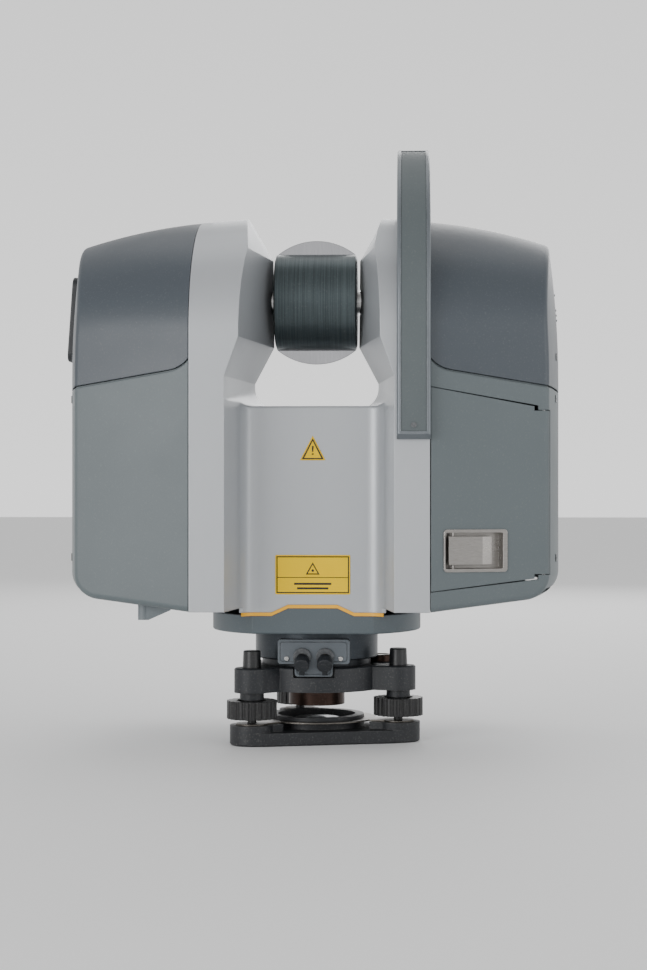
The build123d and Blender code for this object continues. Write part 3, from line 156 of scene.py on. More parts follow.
def new_group(name, inputs, outputs):
    """An empty shader node group with the given named sockets."""
    tree = bpy.data.node_groups.new(name, "ShaderNodeTree")
    for label, kind, value in inputs:
        made = tree.interface.new_socket(label, in_out="INPUT", socket_type=kind)
        made.default_value = value
    for label, kind in outputs:
        tree.interface.new_socket(label, in_out="OUTPUT", socket_type=kind)
    return tree, tree.nodes.new("NodeGroupInput"), tree.nodes.new("NodeGroupOutput")


# Edge wear and painted edge highlight: where the surface's own facing parts from its rounded one, the colour
# is mixed towards the edge colour, partly for thin, rubbed coating and partly as a painted highlight along
# the edge
edge_wear_and_highlight, given, result = new_group(
    "edge_wear_and_highlight",
    [("Width", "NodeSocketFloat", 0.0008), ("Amount", "NodeSocketFloat", 0.5)],
    [("Mask", "NodeSocketFloat"), ("Normal", "NodeSocketVector")],
)
bevel = add_node(edge_wear_and_highlight, "ShaderNodeBevel", samples=4)
facing = add_node(edge_wear_and_highlight, "ShaderNodeNewGeometry")
spread = add_node(edge_wear_and_highlight, "ShaderNodeVectorMath", operation="DOT_PRODUCT")
level = add_node(edge_wear_and_highlight, "ShaderNodeMapRange", in_From_Min=0.985, in_From_Max=0.80)
place = add_node(edge_wear_and_highlight, "ShaderNodeTexCoord")
breaks = add_node(edge_wear_and_highlight, "ShaderNodeTexNoise", in_Scale=160.0, in_Detail=4.0, in_Roughness=0.6)
broken = add_node(edge_wear_and_highlight, "ShaderNodeMapRange", in_From_Min=0.35, in_From_Max=0.65)
patchy = add_node(edge_wear_and_highlight, "ShaderNodeMath", operation="MULTIPLY")
scaled = add_node(edge_wear_and_highlight, "ShaderNodeMath", operation="MULTIPLY", use_clamp=True)
wire(edge_wear_and_highlight, given.outputs["Width"], bevel.inputs["Radius"])
wire(edge_wear_and_highlight, bevel.outputs["Normal"], spread.inputs[0])
wire(edge_wear_and_highlight, facing.outputs["Normal"], spread.inputs[1])
wire(edge_wear_and_highlight, spread.outputs["Value"], level.inputs["Value"])
wire(edge_wear_and_highlight, place.outputs["Object"], breaks.inputs["Vector"])
wire(edge_wear_and_highlight, breaks.outputs["Fac"], broken.inputs["Value"])
wire(edge_wear_and_highlight, level.outputs["Result"], patchy.inputs[0])
wire(edge_wear_and_highlight, broken.outputs["Result"], patchy.inputs[1])
wire(edge_wear_and_highlight, patchy.outputs["Value"], scaled.inputs[0])
wire(edge_wear_and_highlight, given.outputs["Amount"], scaled.inputs[1])
wire(edge_wear_and_highlight, scaled.outputs["Value"], result.inputs["Mask"])
wire(edge_wear_and_highlight, bevel.outputs["Normal"], result.inputs["Normal"])

# Handling marks: broad cloudy differences, and a finer speckle of dust and settled grime
handling, given, result = new_group(
    "handling_marks",
    [("Scale", "NodeSocketFloat", 12.0), ("Speckle", "NodeSocketFloat", 900.0)],
    [("Cloud", "NodeSocketFloat"), ("Dust", "NodeSocketFloat")],
)
place = add_node(handling, "ShaderNodeTexCoord")
cloud = add_node(handling, "ShaderNodeTexNoise", in_Detail=5.0, in_Roughness=0.62)
cloud_range = add_node(handling, "ShaderNodeMapRange", in_From_Min=0.3, in_From_Max=0.7)
speck = add_node(handling, "ShaderNodeTexNoise", in_Detail=2.0)
speck_range = add_node(handling, "ShaderNodeMapRange", in_From_Min=0.58, in_From_Max=0.78)
wire(handling, place.outputs["Object"], cloud.inputs["Vector"])
wire(handling, given.outputs["Scale"], cloud.inputs["Scale"])
wire(handling, cloud.outputs["Fac"], cloud_range.inputs["Value"])
wire(handling, cloud_range.outputs["Result"], result.inputs["Cloud"])
wire(handling, place.outputs["Object"], speck.inputs["Vector"])
wire(handling, given.outputs["Speckle"], speck.inputs["Scale"])
wire(handling, speck.outputs["Fac"], speck_range.inputs["Value"])
wire(handling, speck_range.outputs["Result"], result.inputs["Dust"])

# Surface grain: the fine pits and bumps of enamel, spark-eroded moulds and blasted castings
surface_grain, given, result = new_group(
    "surface_grain",
    [("Scale", "NodeSocketFloat", 1500.0), ("Roundness", "NodeSocketFloat", 0.5)],
    [("Height", "NodeSocketFloat")],
)
place = add_node(surface_grain, "ShaderNodeTexCoord")
pits = add_node(surface_grain, "ShaderNodeTexNoise", in_Detail=3.0, in_Roughness=0.55)
beads = add_node(surface_grain, "ShaderNodeTexVoronoi", feature="SMOOTH_F1")
joined = add_node(surface_grain, "ShaderNodeMix", data_type="FLOAT")
wire(surface_grain, place.outputs["Object"], pits.inputs["Vector"])
wire(surface_grain, place.outputs["Object"], beads.inputs["Vector"])
wire(surface_grain, given.outputs["Scale"], pits.inputs["Scale"])
wire(surface_grain, given.outputs["Scale"], beads.inputs["Scale"])
wire(surface_grain, given.outputs["Roundness"], joined.inputs["Factor"])
wire(surface_grain, pits.outputs["Fac"], joined.inputs["A"])
wire(surface_grain, beads.outputs["Distance"], joined.inputs["B"])
wire(surface_grain, joined.outputs["Result"], result.inputs["Height"])

# Tool lines: the fine scratches of brushing, or the rings that a turning tool leaves
tool_lines, given, result = new_group(
    "tool_lines",
    [("Stretch", "NodeSocketVector", (40.0, 1600.0, 1600.0))],
    [("Height", "NodeSocketFloat")],
)
place = add_node(tool_lines, "ShaderNodeTexCoord")
stretched = add_node(tool_lines, "ShaderNodeVectorMath", operation="MULTIPLY")
lines = add_node(tool_lines, "ShaderNodeTexNoise", in_Scale=1.0, in_Detail=3.0, in_Roughness=0.7)
wire(tool_lines, place.outputs["Object"], stretched.inputs[0])
wire(tool_lines, given.outputs["Stretch"], stretched.inputs[1])
wire(tool_lines, stretched.outputs["Vector"], lines.inputs["Vector"])
wire(tool_lines, lines.outputs["Fac"], result.inputs["Height"])


def make_finish(name, colour, shade, rough, metal=0.0, grain=1500.0, depth=0.00003, beads=0.4,
                edge_wear_highlight_colour=None, edge_wear_highlight_amount=0.0, width=0.0007, cloud=12.0, coat=0.0, stretch=None, dust=0.06):
    """A finish with cloudy colour, dust, grain or tool lines, and edges mixed to the edge colour, partly wear
    and partly painted highlight.
    """
    made = bpy.data.materials.new(name)
    made.use_nodes = True
    tree = made.node_tree
    shader = tree.nodes["Principled BSDF"]
    shader.inputs["Metallic"].default_value = metal
    shader.inputs["Coat Weight"].default_value = coat
    shader.inputs["Coat Roughness"].default_value = 0.12
    marks = add_node(tree, "ShaderNodeGroup", node_tree=handling, in_Scale=cloud)
    if stretch:
        grained = add_node(tree, "ShaderNodeGroup", node_tree=tool_lines, in_Stretch=stretch)
    else:
        grained = add_node(
            tree, "ShaderNodeGroup", node_tree=surface_grain, in_Scale=grain, in_Roundness=beads,
        )
    mixed = add_node(tree, "ShaderNodeMix", data_type="RGBA")
    mixed.inputs["A"].default_value = colour
    mixed.inputs["B"].default_value = shade
    tint = add_node(tree, "ShaderNodeMapRange", in_From_Min=0.38, in_From_Max=0.62)
    varied = add_node(tree, "ShaderNodeMix", data_type="FLOAT", in_Factor=0.65 if stretch else 0.25)
    wire(tree, grained.outputs["Height"], tint.inputs["Value"])
    wire(tree, marks.outputs["Cloud"], varied.inputs["A"])
    wire(tree, tint.outputs["Result"], varied.inputs["B"])
    wire(tree, varied.outputs["Result"], mixed.inputs["Factor"])
    dust_share = add_node(tree, "ShaderNodeMath", operation="MULTIPLY")
    dust_share.inputs[1].default_value = dust
    wire(tree, marks.outputs["Dust"], dust_share.inputs[0])
    dusty = add_node(tree, "ShaderNodeMix", data_type="RGBA")
    dusty.inputs["B"].default_value = tone(196, 194, 188)
    wire(tree, dust_share.outputs["Value"], dusty.inputs["Factor"])
    wire(tree, mixed.outputs["Result"], dusty.inputs["A"])
    # Edges take the edge colour: partly wear, partly a painted highlight along the edge
    edges = add_node(tree, "ShaderNodeGroup", node_tree=edge_wear_and_highlight, in_Width=width, in_Amount=edge_wear_highlight_amount)
    edged = add_node(tree, "ShaderNodeMix", data_type="RGBA")
    edged.inputs["B"].default_value = edge_wear_highlight_colour or colour
    wire(tree, edges.outputs["Mask"], edged.inputs["Factor"])
    wire(tree, dusty.outputs["Result"], edged.inputs["A"])
    wire(tree, edged.outputs["Result"], shader.inputs["Base Color"])
    shine = add_node(tree, "ShaderNodeMapRange", in_To_Min=max(rough - 0.06, 0.02), in_To_Max=rough + 0.07)
    wire(tree, marks.outputs["Cloud"], shine.inputs["Value"])
    wire(tree, shine.outputs["Result"], shader.inputs["Roughness"])
    relief = add_node(tree, "ShaderNodeBump", in_Strength=0.6, in_Distance=depth)
    wire(tree, grained.outputs["Height"], relief.inputs["Height"])
    wire(tree, edges.outputs["Normal"], relief.inputs["Normal"])
    wire(tree, relief.outputs["Normal"], shader.inputs["Normal"])
    return made


def dress(material, *names):
    """Gives the finish to these CAD nodes."""
    for name in names:
        data = nodes[name].data
        if not data.materials:
            data.materials.append(material)
        for spot in nodes[name].material_slots:
            spot.material = material


# Light edge colour for the enamel: partly bare metal where worn, partly painted highlight
bare_and_lit_edge = tone(150, 150, 148)
base_enamel = make_finish(
    "base_enamel", tone(30, 32, 36), tone(23, 25, 29), 0.48, grain=1300.0, depth=0.00006,
    edge_wear_highlight_colour=bare_and_lit_edge, edge_wear_highlight_amount=0.45, cloud=22.0, dust=0.12,
)
dress(base_enamel, "base_plate")
machined = make_finish(
    "machined_alloy", tone(176, 178, 180), tone(150, 153, 156), 0.32, metal=1.0,
    stretch=(1400.0, 1400.0, 60.0), depth=0.00002, edge_wear_highlight_colour=tone(225, 225, 225), edge_wear_highlight_amount=0.4,
)
dress(machined, "thread_bush")
spring_steel = make_finish(
    "spring_steel", tone(128, 124, 118), tone(88, 84, 80), 0.34, metal=1.0,
    stretch=(60.0, 1500.0, 1500.0), depth=0.00002, edge_wear_highlight_colour=tone(190, 186, 180), edge_wear_highlight_amount=0.5, cloud=30.0,
)
dress(spring_steel, "spring_plate")

# ---- Foot screws --------------------------------------------------------------------------
# Each foot screw is a black ribbed knob moulded on to a bright steel spindle, whose ball end
# sits under the spring plate. The knob's rib edges are painted lighter, partly as wear where fingers
# turn them and partly as painted highlight.
knob_plastic = make_finish(
    "knob_plastic", tone(18, 18, 19), tone(12, 12, 13), 0.38, grain=1900.0, depth=0.00003,
    edge_wear_highlight_colour=tone(70, 70, 72), edge_wear_highlight_amount=0.55, cloud=40.0, dust=0.08,
)
bright_steel = make_finish(
    "bright_steel", tone(190, 190, 188), tone(160, 160, 160), 0.2, metal=1.0,
    stretch=(300.0, 300.0, 2600.0), depth=0.00002, edge_wear_highlight_colour=tone(230, 230, 228), edge_wear_highlight_amount=0.3,
)
dress(knob_plastic, "foot_screw_left", "foot_screw_right", "foot_screw_rear")

# ---- Tribrach upper plate -----------------------------------------------------------------
# The upper plate is the same enamelled casting, with a collar and a domed cap over each foot
# screw. A bronze bush in its middle takes the adapter, and a knob on the left locks it.
plate_enamel = make_finish(
    "plate_enamel", tone(30, 33, 38), tone(23, 26, 30), 0.46, grain=1300.0, depth=0.00006,
    edge_wear_highlight_colour=bare_and_lit_edge, edge_wear_highlight_amount=0.45, cloud=18.0, dust=0.1,
)
dress(plate_enamel, "upper_plate")
cap_black = make_finish(
    "cap_black", tone(30, 31, 33), tone(20, 21, 22), 0.35, grain=1700.0, depth=0.00003,
    edge_wear_highlight_colour=tone(95, 95, 96), edge_wear_highlight_amount=0.4, cloud=40.0,
)
dress(cap_black, "screw_caps")
bronze = make_finish(
    "bronze", tone(64, 48, 42), tone(46, 36, 32), 0.36, metal=0.9,
    stretch=(120.0, 120.0, 2200.0), depth=0.00003, edge_wear_highlight_colour=tone(170, 130, 96), edge_wear_highlight_amount=0.4,
)
dress(bronze, "centre_bush")
lock_rubber = make_finish(
    "lock_rubber", tone(33, 34, 36), tone(22, 23, 24), 0.52, grain=1600.0, depth=0.00005,
    edge_wear_highlight_colour=tone(88, 88, 88), edge_wear_highlight_amount=0.35, cloud=50.0,
)
dress(lock_rubber, "lock_knob")

# ---- Circular level -----------------------------------------------------------------------
# The circular level is a small brass cup in the rear right of the plate. Its glass vial holds
# a yellow-green spirit, an air bubble and one black ring that the bubble is centred in.
dress(bronze, "level_housing")
vial_low, vial_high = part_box("level_vial")
vial_middle = (vial_low + vial_high) / 2
vial_radius = (vial_high.x - vial_low.x) / 2
vial = bpy.data.materials.new("level_spirit")
vial.use_nodes = True
tree = vial.node_tree
vial_shader = tree.nodes["Principled BSDF"]
vial_shader.inputs["Roughness"].default_value = 0.06
vial_shader.inputs["Coat Weight"].default_value = 1.0
place = add_node(tree, "ShaderNodeTexCoord")
centred = add_node(tree, "ShaderNodeMapping", in_Location=(-vial_middle.x, -vial_middle.y, 0.0))
flat = add_node(tree, "ShaderNodeVectorMath", operation="MULTIPLY")
flat.inputs[1].default_value = (1.0, 1.0, 0.0)
distance = add_node(tree, "ShaderNodeVectorMath", operation="LENGTH")
rings = add_node(tree, "ShaderNodeMapRange", in_From_Max=vial_radius)
scale_ramp = add_node(tree, "ShaderNodeValToRGB")
scale_ramp.color_ramp.interpolation = "CONSTANT"
steps = [(0.0, tone(226, 232, 176)), (0.36, tone(96, 104, 40)), (0.40, tone(196, 206, 96)),
         (0.50, tone(24, 24, 20)), (0.56, tone(190, 200, 86)), (0.93, tone(120, 112, 60))]
for index, (spot, colour) in enumerate(steps):
    stop = scale_ramp.color_ramp.elements[index] if index < 2 else scale_ramp.color_ramp.elements.new(spot)
    stop.position = spot
    stop.color = colour
wire(tree, place.outputs["Object"], centred.inputs["Vector"])
wire(tree, centred.outputs["Vector"], flat.inputs[0])
wire(tree, flat.outputs["Vector"], distance.inputs[0])
wire(tree, distance.outputs["Value"], rings.inputs["Value"])
wire(tree, rings.outputs["Result"], scale_ramp.inputs["Fac"])
wire(tree, scale_ramp.outputs["Color"], vial_shader.inputs["Base Color"])
dress(vial, "level_vial")

# ---- Adapter and fixed post ---------------------------------------------------------------
# The adapter flange and the post above it are turned aluminium, anodised dark grey with a
# satin bloom. The post stays still while the head turns, so the cable sockets are on it.
post_anodised = make_finish(
    "post_anodised", tone(48, 54, 60), tone(40, 46, 52), 0.34, metal=0.55,
    stretch=(90.0, 90.0, 1700.0), depth=0.000015, edge_wear_highlight_colour=tone(150, 152, 154), edge_wear_highlight_amount=0.3, cloud=9.0,
)
dress(post_anodised, "base_post")
flange_anodised = make_finish(
    "flange_anodised", tone(30, 34, 39), tone(24, 28, 32), 0.36, metal=0.5,
    stretch=(90.0, 90.0, 1700.0), depth=0.000015, edge_wear_highlight_colour=tone(140, 142, 144), edge_wear_highlight_amount=0.3,
)
dress(flange_anodised, "adapter_flange")

# ---- Connector panel ----------------------------------------------------------------------
# A milled grey panel is screwed to the post's front. It carries two round sockets under
# black rubber caps, each cap with a pull tab, and a shallow groove runs round its edge.
panel_paint = make_finish(
    "panel_paint", tone(96, 103, 109), tone(86, 92, 98), 0.4, metal=0.25, grain=2000.0,
    depth=0.00002, edge_wear_highlight_colour=tone(176, 178, 180), edge_wear_highlight_amount=0.35, cloud=30.0,
)
dress(panel_paint, "connector_panel")
dress(bright_steel, "panel_screws")
socket_metal = make_finish(
    "socket_metal", tone(96, 98, 100), tone(70, 72, 74), 0.3, metal=0.9,
    stretch=(500.0, 60.0, 500.0), depth=0.00002, edge_wear_highlight_colour=tone(170, 170, 170), edge_wear_highlight_amount=0.4,
)
dress(socket_metal, "data_sockets")
cap_rubber = make_finish(
    "cap_rubber", tone(36, 40, 45), tone(24, 27, 31), 0.5, grain=2200.0, depth=0.00004,
    edge_wear_highlight_colour=tone(78, 80, 82), edge_wear_highlight_amount=0.35, cloud=60.0, dust=0.1,
)
dress(cap_rubber, "socket_caps")

# ---- Azimuth drive ------------------------------------------------------------------------
# Inside the post, a steel bearing carries the head, a copper-wound ring motor turns it, and
# a slip ring of gilt tracks takes power and data across the turning joint.
dress(bright_steel, "azimuth_bearing")
copper_winding = make_finish(
    "copper_winding", tone(176, 104, 62), tone(134, 72, 42), 0.3, metal=0.85,
    stretch=(60.0, 60.0, 1800.0), depth=0.00008, edge_wear_highlight_colour=tone(214, 160, 120), edge_wear_highlight_amount=0.3,
)
dress(copper_winding, "azimuth_motor", "motor_stator")
gilt_track = make_finish(
    "gilt_track", tone(206, 170, 92), tone(172, 136, 66), 0.24, metal=1.0,
    stretch=(60.0, 60.0, 2400.0), depth=0.00002, edge_wear_highlight_colour=tone(236, 214, 150), edge_wear_highlight_amount=0.3,
)
dress(gilt_track, "slip_ring")

# ---- Skirt and accent line ----------------------------------------------------------------
# The skirt is a painted aluminium ring with flats at the front and rear, hung under the head.
# A yellow moulding is pressed into its top joint, and steps up over the tongue in the middle.
skirt_paint = make_finish(
    "skirt_paint", tone(88, 98, 103), tone(78, 87, 92), 0.42, metal=0.2, grain=1700.0,
    depth=0.00003, edge_wear_highlight_colour=tone(170, 172, 174), edge_wear_highlight_amount=0.3, cloud=8.0,
)
dress(skirt_paint, "skirt_ring")
accent_yellow = make_finish(
    "accent_yellow", (1.0, 0.50, 0.02, 1), (0.94, 0.44, 0.01, 1), 0.40, grain=2400.0, depth=0.00002,
    edge_wear_highlight_colour=(1.0, 0.60, 0.10, 1), edge_wear_highlight_amount=0.2, dust=0.02,
)
dress(accent_yellow, "accent_stripe")

# ---- Silver fork --------------------------------------------------------------------------
# The fork is two magnesium castings, joined along the middle of its sides and crown. They
# are sprayed in a fine metallic silver lacquer over a barely visible cast texture.
silver_lacquer = make_finish(
    "silver_lacquer", tone(184, 187, 190), tone(176, 179, 183), 0.40, metal=0.42, grain=1900.0,
    depth=0.00002, beads=0.3, edge_wear_highlight_colour=tone(206, 208, 210), edge_wear_highlight_amount=0.35, cloud=6.0, coat=0.1,
    width=0.0010,
)
dress(silver_lacquer, "yoke_front", "yoke_rear")
cast_alloy = make_finish(
    "cast_alloy", tone(132, 134, 136), tone(106, 108, 110), 0.5, metal=0.8, grain=700.0,
    depth=0.0001, edge_wear_highlight_colour=tone(190, 190, 190), edge_wear_highlight_amount=0.35, cloud=20.0,
)
dress(cast_alloy, "chassis")

# ---- Side covers --------------------------------------------------------------------------
# The covers are injection-moulded in a glass-filled plastic with a spark-eroded grain. The
# upper pair is a darker blue-grey and the lower pair lighter, with a shadow joint between.
upper_plastic = make_finish(
    "upper_plastic", tone(69, 76, 83), tone(63, 70, 77), 0.40, grain=2300.0, depth=0.00003,
    edge_wear_highlight_colour=tone(138, 146, 152), edge_wear_highlight_amount=0.3, cloud=5.0, width=0.0010,
)
dress(upper_plastic, "cover_upper_left", "cover_upper_right")
lower_plastic = make_finish(
    "lower_plastic", tone(92, 101, 104), tone(86, 95, 98), 0.44, grain=2300.0, depth=0.00003,
    edge_wear_highlight_colour=tone(150, 158, 162), edge_wear_highlight_amount=0.3, cloud=5.0, width=0.0010,
)
dress(lower_plastic, "cover_lower_left", "cover_lower_right", "battery_door", "usb_door")
hook_plastic = make_finish(
    "hook_plastic", tone(120, 128, 132), tone(100, 108, 112), 0.42, grain=2000.0, depth=0.00003,
    edge_wear_highlight_colour=tone(160, 164, 166), edge_wear_highlight_amount=0.4, cloud=40.0,
)
dress(hook_plastic, "tape_hook")

# ---- Cover screws -------------------------------------------------------------------------
# Stainless socket screws hold the covers from the sides and the rear. Each is a low round
# head with a six-sided recess, seated flush on the plastic, and each is set square to it.
screw_finish = make_finish(
    "screw_steel", tone(120, 122, 124), tone(92, 94, 96), 0.28, metal=1.0,
    stretch=(900.0, 900.0, 900.0), depth=0.00002, edge_wear_highlight_colour=tone(200, 200, 200), edge_wear_highlight_amount=0.5, width=0.0003,
)


def placing_tree(name, sizes, shape):
    """A geometry tree that sets one shape on every point, turned to the point's facing."""
    grown = bpy.data.node_groups.new(name, "GeometryNodeTree")
    grown.interface.new_socket("Points", in_out="INPUT", socket_type="NodeSocketGeometry")
    for label, value in sizes:
        grown.interface.new_socket(label, in_out="INPUT", socket_type="NodeSocketFloat").default_value = value
    grown.interface.new_socket("Finish", in_out="INPUT", socket_type="NodeSocketMaterial")
    grown.interface.new_socket("Mesh", in_out="OUTPUT", socket_type="NodeSocketGeometry")
    source = grown.nodes.new("NodeGroupInput")
    sink = grown.nodes.new("NodeGroupOutput")
    faced = add_node(grown, "GeometryNodeInputNamedAttribute", data_type="FLOAT_VECTOR", in_Name="facing")
    turned = add_node(grown, "FunctionNodeAlignRotationToVector", axis="Z")
    placed = add_node(grown, "GeometryNodeInstanceOnPoints")
    real = add_node(grown, "GeometryNodeRealizeInstances")
    finished = add_node(grown, "GeometryNodeSetMaterial")
    wire(grown, source.outputs["Points"], placed.inputs["Points"])
    wire(grown, shape(grown, source), placed.inputs["Instance"])
    wire(grown, faced.outputs["Attribute"], turned.inputs["Vector"])
    wire(grown, turned.outputs["Rotation"], placed.inputs["Rotation"])
    wire(grown, placed.outputs["Instances"], real.inputs["Geometry"])
    wire(grown, real.outputs["Geometry"], finished.inputs["Geometry"])
    wire(grown, source.outputs["Finish"], finished.inputs["Material"])
    wire(grown, finished.outputs["Geometry"], sink.inputs["Mesh"])
    return grown


def socket_screw(grown, source):
    """A low round head with a six-sided recess, its underside a little below the surface."""
    head = add_node(grown, "GeometryNodeMeshCylinder", in_Vertices=28)
    recess = add_node(grown, "GeometryNodeMeshCylinder", in_Vertices=6)
    raised = add_node(grown, "GeometryNodeTransform")
    lift = add_node(grown, "ShaderNodeCombineXYZ")
    cut = add_node(grown, "GeometryNodeMeshBoolean", operation="DIFFERENCE", solver="EXACT")
    wire(grown, source.outputs["Head Radius"], head.inputs["Radius"])
    wire(grown, source.outputs["Head Height"], head.inputs["Depth"])
    wire(grown, source.outputs["Recess Radius"], recess.inputs["Radius"])
    wire(grown, source.outputs["Head Height"], recess.inputs["Depth"])
    wire(grown, source.outputs["Recess Floor"], lift.inputs["Z"])
    wire(grown, recess.outputs["Mesh"], raised.inputs["Geometry"])
    wire(grown, lift.outputs["Vector"], raised.inputs["Translation"])
    wire(grown, head.outputs["Mesh"], cut.inputs["Mesh 1"])
    wire(grown, raised.outputs["Geometry"], cut.inputs["Mesh 2"])
    return cut.outputs["Mesh"]


def on_surface(name, spots, direction):
    """Points where rays in this direction meet a CAD node, with the surface's facing there."""
    found = []
    for start in spots:
        hit, where, normal, _ = nodes[name].ray_cast(Vector(start), Vector(direction))
        if hit:
            found.append((where, normal if normal.dot(Vector(direction)) < 0 else -normal))
    return found


def place_pieces(name, tree_made, found, values, material, body):
    """Grows one mesh of repeats from the points, makes it plain, and lets it ride on a body."""
    cloud = bmesh.new()
    for where, _ in found:
        cloud.verts.new(where)
    seeds = mesh_object(name + "_points", cloud)
    facing_store = seeds.data.attributes.new("facing", "FLOAT_VECTOR", "POINT")
    for index, (_, normal) in enumerate(found):
        facing_store.data[index].vector = normal
    grower = seeds.modifiers.new("grow", "NODES")
    grower.node_group = tree_made
    for item in tree_made.interface.items_tree:
        if item.in_out == "INPUT" and item.name in values:
            grower[item.identifier] = values[item.name]
        if item.in_out == "INPUT" and item.name == "Finish":
            grower[item.identifier] = material
    depsgraph = bpy.context.evaluated_depsgraph_get()
    data = bpy.data.meshes.new_from_object(seeds.evaluated_get(depsgraph), depsgraph=depsgraph)
    seeds.modifiers.remove(grower)
    bpy.data.objects.remove(seeds)
    piece = bpy.data.objects.new(name, data)
    bpy.context.scene.collection.objects.link(piece)
    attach(piece, body)
    return piece


screw_tree = placing_tree(
    "socket_screw",
    [("Head Radius", 0.0024), ("Head Height", 0.0016), ("Recess Radius", 0.0011), ("Recess Floor", 0.0006)],
    socket_screw,
)
reach = 0.3
upper_row, lower_row = 0.262, 0.234
flank_spots = {
    "cover_upper": [(-0.055, upper_row), (0.055, upper_row)],
    "cover_lower": [(-0.060, lower_row), (0.060, lower_row), (-0.060, 0.128), (0.060, 0.128)],
}
rear_spots = {
    "cover_upper": [(0.095, upper_row), (0.140, upper_row)],
    "cover_lower": [(0.095, lower_row), (0.140, lower_row), (0.095, 0.116), (0.140, 0.116)],
}
cover_points = []
for side, sign in (("left", -1), ("right", 1)):
    for part, spots in flank_spots.items():
        starts = [(sign * reach, y, z) for y, z in spots]
        cover_points += on_surface(f"{part}_{side}", starts, (-sign, 0, 0))
    for part, spots in rear_spots.items():
        starts = [(sign * x, reach, z) for x, z in spots]
        cover_points += on_surface(f"{part}_{side}", starts, (0, -1, 0))
cover_screws = place_pieces(
    "cover_screws", screw_tree, cover_points,
    {"Head Radius": 0.0026, "Head Height": 0.0012, "Recess Radius": 0.0012, "Recess Floor": 0.0005},
    screw_finish, "head",
)

# ---- Vent ribs ----------------------------------------------------------------------------
# A short row of moulded ribs stands on each upper cover's flank, over the outlet of the
# cooling air. They are part of the same tool as the cover, and share its grain.


def rounded_rib(grown, source):
    """A low round-backed bar, laid level."""
    bar = add_node(grown, "GeometryNodeMeshCylinder", in_Vertices=10)
    shaped = add_node(grown, "GeometryNodeTransform")
    wire(grown, source.outputs["Rib Radius"], bar.inputs["Radius"])
    wire(grown, source.outputs["Rib Length"], bar.inputs["Depth"])
    shaped.inputs["Rotation"].default_value = (math.pi / 2, 0, 0)
    wire(grown, bar.outputs["Mesh"], shaped.inputs["Geometry"])
    return shaped.outputs["Geometry"]


rib_tree = placing_tree("vent_rib", [("Rib Radius", 0.0008), ("Rib Length", 0.020)], rounded_rib)
rib_count = 6
rib_pitch = 0.0035
lowest_rib = 0.290
rib_points = []
for side, sign, row_y in (("left", -1, 0.055), ("right", 1, 0.0)):
    starts = [(sign * reach, row_y, lowest_rib + rib_pitch * step) for step in range(rib_count)]
    rib_points += on_surface(f"cover_upper_{side}", starts, (-sign, 0, 0))
vent_ribs = place_pieces(
    "vent_ribs", rib_tree, rib_points, {"Rib Radius": 0.0009, "Rib Length": 0.022}, upper_plastic, "head",
)

# ---- Display and power button -------------------------------------------------------------
# The operator's display is on the left cover, in a black moulded bezel. Hardened glass over
# the screen shows a deep blue-black, and a rubber power button is set beside it.
bezel_black = make_finish(
    "bezel_black", tone(40, 43, 47), tone(30, 33, 36), 0.42, grain=2300.0, depth=0.00003,
    edge_wear_highlight_colour=tone(90, 92, 94), edge_wear_highlight_amount=0.35, cloud=30.0,
)
dress(bezel_black, "display_bezel")
screen_glass = make_finish(
    "screen_glass", tone(24, 32, 44), tone(16, 22, 32), 0.08, grain=400.0, depth=0.000004,
    edge_wear_highlight_colour=tone(60, 70, 80), edge_wear_highlight_amount=0.3, coat=0.8, cloud=20.0, dust=0.03,
)
dress(screen_glass, "display_glass")
button_rubber = make_finish(
    "button_rubber", tone(150, 156, 160), tone(128, 134, 138), 0.5, grain=2600.0, depth=0.00003,
    edge_wear_highlight_colour=tone(190, 194, 196), edge_wear_highlight_amount=0.4, cloud=80.0,
)
dress(button_rubber, "power_button")

# ---- Battery door, latch and battery -------------------------------------------------------
# The door is moulded like the lower cover and hangs on two steel pins. A stamped stainless
# latch is riveted in it: a brushed frame, a bent paddle, and a bolt that the paddle draws.
brushed_steel = make_finish(
    "brushed_steel", tone(158, 155, 151), tone(138, 135, 132), 0.3, metal=1.0,
    stretch=(60.0, 900.0, 3200.0), depth=0.00003, edge_wear_highlight_colour=tone(228, 226, 222), edge_wear_highlight_amount=0.6, cloud=36.0,
)
dress(brushed_steel, "latch_tray", "latch_paddle", "latch_bolt")
dress(bright_steel, "hinge_pins")
bay_plastic = make_finish(
    "bay_plastic", tone(44, 46, 49), tone(34, 36, 38), 0.55, grain=1400.0, depth=0.00006,
    edge_wear_highlight_colour=tone(84, 84, 86), edge_wear_highlight_amount=0.3, cloud=16.0,
)
dress(bay_plastic, "battery_bay")
battery_plastic = make_finish(
    "battery_plastic", tone(60, 66, 72), tone(48, 53, 58), 0.46, grain=1500.0, depth=0.00005,
    edge_wear_highlight_colour=tone(110, 112, 114), edge_wear_highlight_amount=0.4, cloud=18.0,
)
dress(battery_plastic, "battery_pack")

